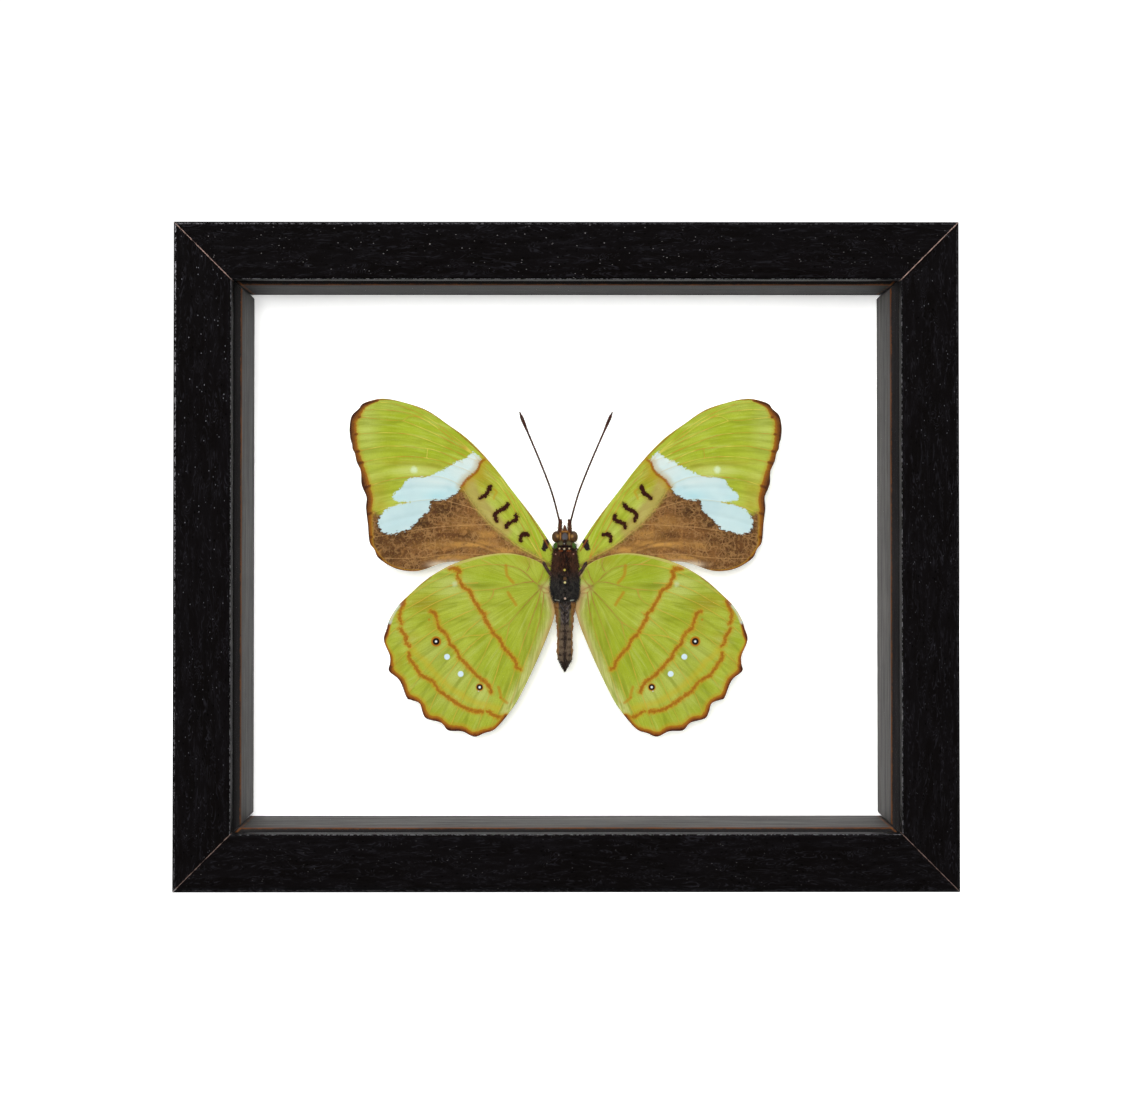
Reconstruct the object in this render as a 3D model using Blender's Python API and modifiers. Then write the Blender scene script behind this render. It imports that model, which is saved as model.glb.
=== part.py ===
"""Framed butterfly specimen: a mitred box frame, glazed, with a pinned butterfly over a white board.

Metres, +Z up. The frame stands on its bottom edge and faces -Y. The origin is the middle of the
box's underside. Shapes of the specimen are given in millimetres from the middle of the frame:
"out" runs sideways from the midline, the same on both sides, and "up" runs along +Z.
"""

import math

import bmesh
import bpy
from mathutils import Matrix, Vector

MM = 0.001
GAP = 0.3 * MM

# Frame: outer size, and the moulding's section
FRAME_WIDTH = 130.0 * MM
FRAME_HEIGHT = 110.8 * MM
FRAME_DEPTH = 34.0 * MM
FACE_WIDTH = 9.6 * MM
WALL_WIDTH = 6.3 * MM
LIP_DEPTH = 3.2 * MM
OUTER_ROUND = 0.8 * MM
INNER_ROUND = 0.6 * MM

# What lies in the rabbet, from the front to the back
GLASS_THICK = 2.0 * MM
LINER_DEPTH = 18.2 * MM
BOARD_THICK = 2.5 * MM
PANEL_THICK = 3.0 * MM
LINER_SIDE_SIGHT = 54.3 * MM
LINER_END_SIGHT = 45.35 * MM
LINER_ROUND = 0.35 * MM

# Fastenings at the back
TAB_LENGTH = 12.0 * MM
TAB_WIDTH = 6.0 * MM
TAB_THICK = 0.5 * MM
TAB_BITE = 3.0 * MM
TAB_SPREAD = 34.0 * MM
HANGER_LENGTH = 44.0 * MM
HANGER_HEIGHT = 9.0 * MM
HANGER_THICK = 0.8 * MM
HANGER_RISE = 1.4 * MM
HANGER_BEND = 10.5 * MM
HANGER_TEETH = 9
HANGER_DROP = 16.0 * MM
RIVET_SPREAD = 18.0 * MM
RIVET_RADIUS = 0.9 * MM
RIVET_HEAD = 1.7 * MM

# Specimen: the body's midline, its depth, and the wings' two levels
BODY_OUT = -0.2
BODY_LEVEL = -2.6
FOREWING_LEVEL = -1.6
HINDWING_LEVEL = -2.2
WING_THICK = 0.25
WING_SPAN = 37.0
TIP_RISE = 0.8
SHEET_CELL = 3.4
BODY_FLATNESS = 1.12
SEGMENT_PITCH = 1.33
PIN_RADIUS = 0.25
PIN_UP = -3.5
LEG_RADIUS = 0.15
PALP_RADIUS = 0.28
ANTENNA_SHAFT = 0.12
ANTENNA_CLUB = 0.27

# Depths of the layers, measured along Y from the middle of the frame's depth
FRONT = -FRAME_DEPTH / 2
BACK = FRAME_DEPTH / 2
GLASS_FRONT = FRONT + LIP_DEPTH + GAP
LINER_FRONT = GLASS_FRONT + GLASS_THICK + GAP
BOARD_FRONT = LINER_FRONT + LINER_DEPTH + GAP
PANEL_FRONT = BOARD_FRONT + BOARD_THICK + GAP
PANEL_BACK = PANEL_FRONT + PANEL_THICK
TAB_FRONT = PANEL_BACK + GAP
MIDDLE = FRAME_HEIGHT / 2

# Outline of the forewing as (out, up): front edge, tip, scalloped margin, rear corner, rear edge, root
FOREWING = [
    (2.5, 1.2), (3.8, 3.9), (5.9, 6.9), (9.0, 10.9), (12.4, 15.3), (16.4, 19.6), (20.3, 22.5),
    (23.9, 24.9), (28.2, 26.3), (31.1, 26.8), (33.1, 26.5), (34.7, 25.9),
    (35.3, 25.1), (36.5, 23.9), (36.9, 22.0), (36.8, 20.1), (36.5, 19.0), (36.4, 18.2), (36.0, 17.4),
    (35.7, 16.0), (35.0, 14.4), (34.9, 12.4), (34.6, 11.4), (34.0, 9.9), (34.1, 8.1), (33.8, 5.4),
    (33.5, 2.3), (32.7, 1.1), (32.2, -0.1), (31.4, -0.9), (29.8, -1.9), (28.1, -2.5), (26.0, -2.7),
    (24.2, -2.4), (19.8, -1.1), (12.0, -1.2), (6.0, -2.0), (3.4, -2.8), (3.0, -2.0),
]

# Outline of the hindwing: front edge, seven scallops with a notch at each vein, inner edge, root
HINDWING = [
    (3.4, -1.8), (5.2, -0.8), (7.5, 0.0), (10.5, 0.4), (14.0, 0.0), (17.4, -0.8), (20.6, -2.1),
    (23.9, -4.2), (26.6, -6.6), (28.6, -8.6), (30.0, -10.8), (30.5, -12.4), (31.0, -14.4),
    (30.0, -17.0), (29.95, -18.4), (30.1, -19.7), (28.3, -21.3), (27.1, -24.2), (26.4, -24.6),
    (24.9, -25.2), (24.4, -26.7), (23.7, -27.8), (21.3, -28.5), (20.3, -29.6), (19.6, -29.9),
    (17.6, -30.0), (15.6, -30.9), (13.9, -30.3), (12.2, -29.7), (10.4, -27.8), (8.5, -25.2),
    (7.1, -22.6), (4.7, -17.5), (2.5, -12.2), (2.05, -10.2), (2.35, -8.7), (2.95, -7.4), (2.95, -3.2),
]

# Half widths of the body's parts as (up, half width), from the top down
THORAX = [
    (1.6, 0.0), (1.45, 0.9), (1.0, 1.5), (0.2, 1.8), (-1.2, 2.05), (-2.8, 2.25), (-4.6, 2.36),
    (-6.2, 2.3), (-7.1, 2.0), (-7.6, 1.3), (-7.75, 0.0),
]
ABDOMEN = [
    (-8.05, 0.0), (-8.15, 1.2), (-8.8, 1.6), (-10.3, 1.54), (-12.0, 1.44), (-14.0, 1.4),
    (-16.4, 1.36), (-17.6, 1.15), (-18.6, 0.78), (-19.5, 0.3), (-19.9, 0.0),
]

# Midlines as (out, up, level): an antenna, a palp, and the two pairs of folded walking legs
ANTENNA = [(0.9, 5.25, -3.2), (1.15, 6.6, -3.4), (2.36, 10.9, -3.5), (4.3, 15.9, -3.3),
           (6.9, 22.0, -2.9), (7.8, 24.2, -2.8)]
PALP = [(0.75, 5.2, -2.3), (0.78, 5.7, -2.35), (0.76, 6.2, -2.4)]
LEG_MID = [(0.9, -1.2, 0.55), (2.3, -2.0, 2.2), (1.9, -5.6, 2.9), (1.5, -7.8, 2.4)]
LEG_HIND = [(0.9, -5.6, 0.55), (2.0, -8.0, 1.8), (1.7, -12.2, 2.6), (1.3, -15.2, 2.2)]


def clear_scene():
    """Remove every object that the file starts with."""
    for item in list(bpy.data.objects):
        bpy.data.objects.remove(item, do_unlink=True)


def new_collection(name, hidden=False):
    """Add a collection to the scene."""
    group = bpy.data.collections.new(name)
    bpy.context.scene.collection.children.link(group)
    group.hide_render = hidden
    return group


def material(name, colour, roughness, metallic=0.0):
    """Make a plain material with one colour."""
    made = bpy.data.materials.new(name)
    made.use_nodes = True
    shader = made.node_tree.nodes["Principled BSDF"]
    shader.inputs["Base Color"].default_value = (*colour, 1.0)
    shader.inputs["Roughness"].default_value = roughness
    shader.inputs["Metallic"].default_value = metallic
    made.diffuse_color = (*colour, 1.0)
    return made


def add_object(name, data, group, look=None):
    """Put data in the scene as a named object."""
    item = bpy.data.objects.new(name, data)
    group.objects.link(item)
    if look:
        item.data.materials.append(look)
    return item


def as_mesh(item, name, group, look=None):
    """Turn an object into a welded mesh in the same place, and remove the object."""
    bpy.context.view_layer.update()
    graph = bpy.context.evaluated_depsgraph_get()
    mesh = bpy.data.meshes.new_from_object(item.evaluated_get(graph))
    mesh.materials.clear()
    welder = bmesh.new()
    welder.from_mesh(mesh)
    bmesh.ops.remove_doubles(welder, verts=welder.verts, dist=0.001 * MM)
    bmesh.ops.recalc_face_normals(welder, faces=welder.faces)
    welder.to_mesh(mesh)
    welder.free()
    place = item.matrix_world.copy()
    bpy.data.objects.remove(item, do_unlink=True)
    made = add_object(name, mesh, group, look)
    made.matrix_world = place
    return made


def hide_cutter(item):
    """Mark an object as a tool that only cuts or joins."""
    item.hide_render = True
    item.display_type = 'WIRE'
    return item


def boolean(item, tool, operation):
    """Cut, trim or join an object with a tool."""
    change = item.modifiers.new(tool.name, 'BOOLEAN')
    change.operation = operation
    change.solver = 'EXACT'
    change.object = tool


def box(name, low, high, group, look=None):
    """A box between two corners."""
    low = Vector(low)
    high = Vector(high)
    shape = bmesh.new()
    bmesh.ops.create_cube(shape, size=1.0)
    bmesh.ops.scale(shape, vec=high - low, verts=shape.verts)
    mesh = bpy.data.meshes.new(name)
    shape.to_mesh(mesh)
    shape.free()
    item = add_object(name, mesh, group, look)
    item.location = (low + high) / 2
    return item


def round_bar(name, radius, start, end, group, look=None, sides=20):
    """A round bar between two points that lie along Y."""
    shape = bmesh.new()
    length = end - start
    bmesh.ops.create_cone(shape, cap_ends=True, segments=sides, radius1=radius, radius2=radius,
                          depth=length.length)
    mesh = bpy.data.meshes.new(name)
    shape.to_mesh(mesh)
    shape.free()
    item = add_object(name, mesh, group, look)
    item.location = (start + end) / 2
    item.rotation_euler = (math.pi / 2, 0, 0)
    return item


def smooth(points, steps, closed=False):
    """Points along a smooth curve through the given ones."""
    count = len(points)
    last = count if closed else count - 1
    line = []
    for index in range(last):
        if closed:
            around = [points[(index + step) % count] for step in (-1, 0, 1, 2)]
        else:
            around = [points[min(max(index + step, 0), count - 1)] for step in (-1, 0, 1, 2)]
        before, here, after, beyond = (Vector(point) for point in around)
        for step in range(steps):
            t = step / steps
            line.append(0.5 * (2 * here + (after - before) * t
                               + (2 * before - 5 * here + 4 * after - beyond) * t ** 2
                               + (3 * here - before - 3 * after + beyond) * t ** 3))
    if not closed:
        line.append(Vector(points[-1]))
    return line


def flat_outline(name, points, thickness, group, look=None):
    """A flat piece in the X-Z plane with the given outline, centred on Y = 0."""
    curve = bpy.data.curves.new(name, 'CURVE')
    curve.dimensions = '2D'
    curve.fill_mode = 'BOTH'
    curve.extrude = thickness / 2
    spline = curve.splines.new('POLY')
    spline.points.add(len(points) - 1)
    for knot, point in zip(spline.points, points):
        knot.co = (point[0], point[1], 0.0, 1.0)
    spline.use_cyclic_u = True
    item = add_object(name, curve, group)
    item.rotation_euler = (math.pi / 2, 0, 0)
    return as_mesh(item, name, group, look)


def tube(name, points, radii, group, look):
    """A round tube along a midline, with a radius at every point."""
    curve = bpy.data.curves.new(name, 'CURVE')
    curve.dimensions = '3D'
    curve.bevel_depth = max(radii)
    curve.bevel_resolution = 2
    curve.use_fill_caps = True
    spline = curve.splines.new('POLY')
    spline.points.add(len(points) - 1)
    for knot, point, radius in zip(spline.points, points, radii):
        knot.co = (*point, 1.0)
        knot.radius = radius / max(radii)
    item = add_object(name, curve, group)
    return as_mesh(item, name, group, look)


def turned(name, profile, steps, flatness, place, group, look=None):
    """A body turned about +Z from (up, radius) pairs, run from the top down, and flattened in depth."""
    mesh = bpy.data.meshes.new(name)
    mesh.from_pydata([(radius, 0, up) for up, radius in profile],
                     [(index, index + 1) for index in range(len(profile) - 1)], [])
    item = add_object(name, mesh, group)
    turn = item.modifiers.new("Turn", 'SCREW')
    turn.axis = 'Z'
    turn.steps = steps
    turn.render_steps = steps
    turn.use_merge_vertices = True
    turn.merge_threshold = 0.001 * MM
    made = as_mesh(item, name, group, look)
    made.data.transform(Matrix.Diagonal((1.0, flatness, 1.0, 1.0)))
    made.data.shade_smooth()
    made.location = place
    return made


def corner(centre, radius, start, end, steps=3):
    """Points of a rounded corner, with its angles in degrees."""
    angles = [math.radians(start + (end - start) * step / steps) for step in range(steps + 1)]
    return [(centre[0] + radius * math.cos(angle), centre[1] + radius * math.sin(angle))
            for angle in angles]


def rail_section():
    """The moulding's section as (distance in from the outer edge, depth), with both front edges eased."""
    eased = corner((OUTER_ROUND, FRONT + OUTER_ROUND), OUTER_ROUND, 180, 270)
    eased += corner((FACE_WIDTH - INNER_ROUND, FRONT + INNER_ROUND), INNER_ROUND, 270, 360)
    lip = FRONT + LIP_DEPTH
    return eased + [(FACE_WIDTH, lip), (WALL_WIDTH, lip), (WALL_WIDTH, BACK), (0.0, BACK)]


def liner_section(sight):
    """The liner's section: a thin strip on edge, eased along its visible front edge."""
    outer = WALL_WIDTH + GAP
    eased = corner((sight - LINER_ROUND, LINER_FRONT + LINER_ROUND), LINER_ROUND, 270, 360)
    return [(outer, LINER_FRONT)] + eased + [(sight, LINER_FRONT + LINER_DEPTH),
                                             (outer, LINER_FRONT + LINER_DEPTH)]


def mitred_strip(name, section, length, turn, place, group, look):
    """A strip with a mitre at each end: every point steps back by its distance from the outer edge."""
    curve = bpy.data.curves.new(name, 'CURVE')
    curve.dimensions = '2D'
    curve.fill_mode = 'BOTH'
    curve.extrude = length / 2
    spline = curve.splines.new('POLY')
    spline.points.add(len(section) - 1)
    for knot, point in zip(spline.points, section):
        knot.co = (*point, 0.0, 1.0)
    spline.use_cyclic_u = True
    item = as_mesh(add_object(name, curve, group), name, group, look)
    joint_gap = GAP / 2 * math.sqrt(2)
    for vertex in item.data.vertices:
        back = vertex.co.x + joint_gap
        vertex.co.z -= math.copysign(back, vertex.co.z)
    item.rotation_euler = (0, turn, 0)
    item.location = place
    return item


def build_frame(group):
    """The four rails and, inside them, the four liners that hold the board back from the glass."""
    wood = material("black_wood", (0.012, 0.011, 0.012), 0.45)
    stain = material("liner_stain", (0.02, 0.019, 0.019), 0.5)
    sides = {
        "left": (FRAME_HEIGHT, 0.0, (-FRAME_WIDTH / 2, 0, MIDDLE), FRAME_WIDTH / 2 - LINER_SIDE_SIGHT),
        "right": (FRAME_HEIGHT, math.pi, (FRAME_WIDTH / 2, 0, MIDDLE), FRAME_WIDTH / 2 - LINER_SIDE_SIGHT),
        "bottom": (FRAME_WIDTH, -math.pi / 2, (0, 0, 0), MIDDLE - LINER_END_SIGHT),
        "top": (FRAME_WIDTH, math.pi / 2, (0, 0, FRAME_HEIGHT), MIDDLE - LINER_END_SIGHT),
    }
    rails = {}
    for side, (length, turn, place, sight) in sides.items():
        rails[side] = mitred_strip("rail_" + side, rail_section(), length, turn, place, group, wood)
        mitred_strip("liner_" + side, liner_section(sight), length, turn, place, group, stain)
    return rails


def inner_box(name, front, thickness, group, look):
    """A sheet that fills the rabbet, with clearance all round."""
    half_width = FRAME_WIDTH / 2 - WALL_WIDTH - GAP
    half_height = MIDDLE - WALL_WIDTH - GAP
    return box(name, (-half_width, front, MIDDLE - half_height),
               (half_width, front + thickness, MIDDLE + half_height), group, look)


def build_layers(group):
    """Glass, white mount board and back panel."""
    inner_box("glass_pane", GLASS_FRONT, GLASS_THICK, group, material("glass", (0.9, 0.95, 0.93), 0.02))
    board = inner_box("mount_board", BOARD_FRONT, BOARD_THICK, group,
                      material("white_board", (0.93, 0.93, 0.93), 0.8))
    panel = inner_box("back_panel", PANEL_FRONT, PANEL_THICK, group,
                      material("brown_panel", (0.33, 0.22, 0.13), 0.75))
    return board, panel


def build_tabs(rails, group, cutters):
    """Six bent-down tabs that hold the panel in, each in a slot in its rail."""
    steel = material("tab_steel", (0.55, 0.55, 0.56), 0.4, 1.0)
    half_width = FRAME_WIDTH / 2 - WALL_WIDTH
    half_height = MIDDLE - WALL_WIDTH
    spots = {
        "tab_top_left": ("top", -TAB_SPREAD, half_height),
        "tab_top_right": ("top", TAB_SPREAD, half_height),
        "tab_bottom_left": ("bottom", -TAB_SPREAD, -half_height),
        "tab_bottom_right": ("bottom", TAB_SPREAD, -half_height),
        "tab_left": ("left", -half_width, 0.0),
        "tab_right": ("right", half_width, 0.0),
    }
    for name, (side, across, up) in spots.items():
        upright = side in ("top", "bottom")
        outward = math.copysign(1.0, up if upright else across)
        reach = sorted((-outward * (TAB_LENGTH - TAB_BITE), outward * TAB_BITE))
        span = (-TAB_WIDTH / 2, TAB_WIDTH / 2)
        x_span, z_span = (span, reach) if upright else (reach, span)
        low = Vector((across + x_span[0], TAB_FRONT, MIDDLE + up + z_span[0]))
        high = Vector((across + x_span[1], TAB_FRONT + TAB_THICK, MIDDLE + up + z_span[1]))
        box(name, low, high, group, steel)
        clearance = Vector((GAP, GAP, GAP))
        slot = hide_cutter(box(name + "_slot", low - clearance, high + clearance, cutters))
        boolean(rails[side], slot, 'DIFFERENCE')


def hanger_outline():
    """The hanger's outline: two ears, and a middle with teeth along its lower edge."""
    half = HANGER_LENGTH / 2
    top = HANGER_HEIGHT / 2
    tooth = 2 * HANGER_BEND / HANGER_TEETH
    points = [(-half, top), (-half, -top), (-HANGER_BEND, -top)]
    for index in range(HANGER_TEETH):
        left = -HANGER_BEND + index * tooth
        points.append((left + tooth / 2, -top + tooth * 0.6))
        points.append((left + tooth, -top))
    return points + [(half, -top), (half, top)]


def raise_middle(strip):
    """Crease the strip at both bends and lift the stretch between them off the panel."""
    shape = bmesh.new()
    shape.from_mesh(strip.data)
    for crease in (-HANGER_BEND - HANGER_RISE, -HANGER_BEND, HANGER_BEND, HANGER_BEND + HANGER_RISE):
        bmesh.ops.bisect_plane(shape, geom=shape.verts[:] + shape.edges[:] + shape.faces[:],
                               plane_co=(crease, 0, 0), plane_no=(1, 0, 0))
    for vertex in shape.verts:
        if abs(vertex.co.x) < HANGER_BEND + GAP:
            vertex.co.y += HANGER_RISE
    shape.to_mesh(strip.data)
    shape.free()


def build_hanger(panel, group, cutters):
    """A toothed hanging strip riveted to the panel, its middle raised for a nail head."""
    steel = material("hanger_steel", (0.6, 0.58, 0.52), 0.35, 1.0)
    strip = flat_outline("hanger_strip", hanger_outline(), HANGER_THICK, group, steel)
    strip.data.transform(strip.matrix_world)
    strip.matrix_world = Matrix.Identity(4)
    raise_middle(strip)
    up = MIDDLE + MIDDLE - WALL_WIDTH - HANGER_DROP
    strip.location = (0, PANEL_BACK + GAP + HANGER_THICK / 2, up)
    rivet_steel = material("rivet_steel", (0.5, 0.5, 0.5), 0.35, 1.0)
    head_back = PANEL_BACK + GAP + HANGER_THICK + GAP
    for side, across in (("left", -RIVET_SPREAD), ("right", RIVET_SPREAD)):
        hole = round_bar("rivet_hole_" + side, RIVET_RADIUS + GAP, Vector((across, PANEL_FRONT - GAP, up)),
                         Vector((across, head_back, up)), cutters)
        hide_cutter(hole)
        boolean(panel, hole, 'DIFFERENCE')
        boolean(strip, hole, 'DIFFERENCE')
        shank = PANEL_THICK + GAP + HANGER_THICK + GAP
        profile = [(0.6 * MM, 0.0), (0.6 * MM, RIVET_HEAD * 0.6), (0.3 * MM, RIVET_HEAD * 0.9),
                   (0.0, RIVET_HEAD), (0.0, RIVET_RADIUS), (-shank, RIVET_RADIUS), (-shank, 0.0)]
        rivet = turned("rivet_" + side, profile, 16, 1.0, (across, head_back, up), group, rivet_steel)
        rivet.rotation_euler = (-math.pi / 2, 0, 0)


def wing_rise(out):
    """How far a wing stands forward of its root, in millimetres."""
    return TIP_RISE * (out / WING_SPAN) ** 2


def build_wing(name, outline, level, side, group, cutters, look):
    """A wing: a thin bowed sheet trimmed to its outline."""
    points = [point * MM for point in smooth(outline, 2, closed=True)]
    edge = flat_outline(name + "_edge", [(side * point.x, point.y) for point in points], 12 * MM, cutters)
    edge.location = (0, level * MM, MIDDLE)
    hide_cutter(edge)
    outs = [point[0] for point in outline]
    ups = [point[1] for point in outline]
    width = max(outs) - min(outs) + 2
    height = max(ups) - min(ups) + 2
    shape = bmesh.new()
    bmesh.ops.create_grid(shape, x_segments=round(width / SHEET_CELL), y_segments=round(height / SHEET_CELL),
                          size=0.5)
    for vertex in shape.verts:
        out = (max(outs) + min(outs)) / 2 + vertex.co.x * width
        up = (max(ups) + min(ups)) / 2 + vertex.co.y * height
        vertex.co = Vector((side * out, level - wing_rise(out), up)) * MM
    bmesh.ops.recalc_face_normals(shape, faces=shape.faces)
    mesh = bpy.data.meshes.new(name)
    shape.to_mesh(mesh)
    shape.free()
    wing = add_object(name, mesh, group, look)
    wing.location = (0, 0, MIDDLE)
    skin = wing.modifiers.new("Thickness", 'SOLIDIFY')
    skin.thickness = WING_THICK * MM
    skin.offset = 0.0
    boolean(wing, edge, 'INTERSECT')
    return wing


def body_point(out, up, level):
    """A point of the specimen in the frame's own axes."""
    return Vector((out * MM, level * MM, MIDDLE + up * MM))


def ellipsoid(name, centre, radii, group, look=None, segments=16, rings=10):
    """An ellipsoid with three radii in millimetres."""
    shape = bmesh.new()
    bmesh.ops.create_uvsphere(shape, u_segments=segments, v_segments=rings, radius=MM)
    bmesh.ops.scale(shape, vec=radii, verts=shape.verts)
    mesh = bpy.data.meshes.new(name)
    shape.to_mesh(mesh)
    shape.free()
    mesh.shade_smooth()
    item = add_object(name, mesh, group, look)
    item.location = centre
    return item


def abdomen_profile():
    """The abdomen's profile with a swelling for each segment."""
    profile = []
    for point in smooth(ABDOMEN, 3):
        swell = 1.0 + 0.035 * math.cos(2 * math.pi * (point.x - ABDOMEN[0][0]) / SEGMENT_PITCH)
        profile.append((point.x * MM, max(point.y, 0.0) * swell * MM))
    profile[0] = (ABDOMEN[0][0] * MM, 0.0)
    profile[-1] = (ABDOMEN[-1][0] * MM, 0.0)
    return profile


def build_body(board, group, cutters):
    """Head with its eyes, thorax, abdomen, and the pin that carries them."""
    axis = body_point(BODY_OUT, 0.0, BODY_LEVEL)
    dark = material("thorax_brown", (0.05, 0.032, 0.022), 0.8)
    grey = material("abdomen_grey", (0.06, 0.05, 0.045), 0.7)
    thorax = turned("thorax", [(up * MM, radius * MM) for up, radius in THORAX], 20, BODY_FLATNESS, axis,
                    group, dark)
    turned("abdomen", abdomen_profile(), 16, 1.0, axis, group, grey)
    head = ellipsoid("head", body_point(BODY_OUT, 3.3, BODY_LEVEL), (1.45, 1.5, 1.35), group,
                     material("head_brown", (0.09, 0.05, 0.03), 0.5))
    for side, across in (("left", -1.45), ("right", 1.45)):
        eye = ellipsoid("eye_" + side, body_point(BODY_OUT + across, 3.15, BODY_LEVEL - 0.1),
                        (0.7, 0.85, 0.9), cutters, segments=12, rings=8)
        hide_cutter(eye)
        boolean(head, eye, 'UNION')
    tip = body_point(BODY_OUT, PIN_UP, BODY_LEVEL + 1.0)
    foot = Vector((tip.x, BOARD_FRONT + 0.7 * BOARD_THICK, tip.z))
    round_bar("mounting_pin", PIN_RADIUS * MM, tip, foot, group,
              material("pin_steel", (0.6, 0.6, 0.6), 0.25, 1.0), sides=12)
    reach = Vector((0, GAP, 0))
    hole = round_bar("pin_hole", PIN_RADIUS * MM + GAP, tip - reach, foot + reach, cutters, sides=12)
    hide_cutter(hole)
    boolean(thorax, hole, 'DIFFERENCE')
    boolean(board, hole, 'DIFFERENCE')


def build_limbs(group):
    """Antennae, palps and the folded walking legs, each the same on both sides."""
    horn = material("antenna_brown", (0.1, 0.035, 0.02), 0.5)
    fur = material("palp_brown", (0.12, 0.06, 0.03), 0.8)
    shin = material("leg_brown", (0.12, 0.08, 0.05), 0.7)
    for side, sign in (("left", -1), ("right", 1)):
        line = smooth(ANTENNA, 3)
        shares = [index / (len(line) - 1) for index in range(len(line))]
        swell = ANTENNA_CLUB - ANTENNA_SHAFT
        radii = [(ANTENNA_SHAFT + swell * club_share(share)) * MM for share in shares]
        horn_line = [body_point(sign * point.x + BODY_OUT * (1 - share), point.y, point.z)
                     for point, share in zip(line, shares)]
        tube("antenna_" + side, horn_line, radii, group, horn)
        short = smooth(PALP, 2)
        tube("palp_" + side, [body_point(BODY_OUT + sign * point.x, point.y, point.z) for point in short],
             [PALP_RADIUS * (1 - 0.5 * (index / len(short)) ** 3) * MM for index in range(len(short))],
             group, fur)
        for name, route in (("leg_mid_", LEG_MID), ("leg_hind_", LEG_HIND)):
            bent = smooth(route, 3)
            tube(name + side, [body_point(BODY_OUT + sign * point.x, point.y, point.z) for point in bent],
                 [LEG_RADIUS * MM] * len(bent), group, shin)


def club_share(along):
    """How much of the club's swelling an antenna has at a share of its length."""
    swell = min(max((along - 0.8) / 0.12, 0.0), 1.0)
    return swell * swell * (3 - 2 * swell)


def build_wings(group, cutters):
    """The four wings: the hindwings lie in front of the forewings' rear edges."""
    kinds = {
        "forewing_": (FOREWING, FOREWING_LEVEL, material("forewing_green", (0.4, 0.52, 0.06), 0.75)),
        "hindwing_": (HINDWING, HINDWING_LEVEL, material("hindwing_green", (0.38, 0.5, 0.06), 0.75)),
    }
    for name, (outline, level, look) in kinds.items():
        for side, sign in (("left", -1), ("right", 1)):
            build_wing(name + side, outline, level, sign, group, cutters, look)


def main():
    """Build every piece."""
    clear_scene()
    group = new_collection("framed_butterfly_specimen")
    cutters = new_collection("cutters", hidden=True)
    rails = build_frame(group)
    board, panel = build_layers(group)
    build_tabs(rails, group, cutters)
    build_hanger(panel, group, cutters)
    build_body(board, group, cutters)
    build_limbs(group)
    build_wings(group, cutters)


main()
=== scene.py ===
"""Looks for a framed butterfly specimen: a green olive-winged butterfly, set on a white board in a
deep black shadow box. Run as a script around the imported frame; laid out as an add-on."""
import math

import bmesh
import bpy
import numpy as np
from mathutils import Matrix, Vector


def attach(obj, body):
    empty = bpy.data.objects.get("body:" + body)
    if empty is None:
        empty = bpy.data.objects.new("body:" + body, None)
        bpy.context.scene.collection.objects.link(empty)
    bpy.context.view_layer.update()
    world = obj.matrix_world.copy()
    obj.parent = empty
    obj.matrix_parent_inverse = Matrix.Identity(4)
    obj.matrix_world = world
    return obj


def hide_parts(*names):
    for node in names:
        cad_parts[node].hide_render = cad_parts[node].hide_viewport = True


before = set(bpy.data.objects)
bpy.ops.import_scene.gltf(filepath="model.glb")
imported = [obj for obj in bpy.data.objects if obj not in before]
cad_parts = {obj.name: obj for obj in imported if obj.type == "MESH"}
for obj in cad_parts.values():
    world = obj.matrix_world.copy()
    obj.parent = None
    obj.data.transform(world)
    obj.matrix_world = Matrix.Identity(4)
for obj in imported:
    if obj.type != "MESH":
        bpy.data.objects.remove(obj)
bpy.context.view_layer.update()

bl_info = {
    "name": "Framed butterfly specimen",
    "version": (1, 0, 0),
    "blender": (4, 5, 0),
    "location": "View3D > Sidebar > Specimen",
    "description": "Builds the detailed pieces and finishes of a framed butterfly specimen",
    "category": "Add Mesh",
}

MM = 0.001

# The shadow box, in millimetres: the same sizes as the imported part.
BOX_HALF_WIDTH = 65.0
BOX_MIDDLE = 55.4
BOX_FRONT = -17.0
BOX_BACK = 17.0
FACE_WIDTH = 9.6
WALL_WIDTH = 6.3
LIP_DEPTH = 3.2
OUTER_ROUND = 0.8
INNER_ROUND = 0.6
LINER_FRONT = -11.2
LINER_BACK = 7.0
LINER_OUTER = 6.6
LINER_SIDE_SIGHT = 54.3
LINER_END_SIGHT = 45.35
LINER_ROUND = 0.35

# The specimen, in millimetres from the middle of the box.
BODY_OUT = -0.2
BODY_LEVEL = -2.6
WING_AXIS = -0.05
FOREWING_LEVEL = -1.6
HINDWING_LEVEL = -2.2
WING_SPAN = 37.0
TIP_RISE = 0.8
SEGMENT_PITCH = 1.33

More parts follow.
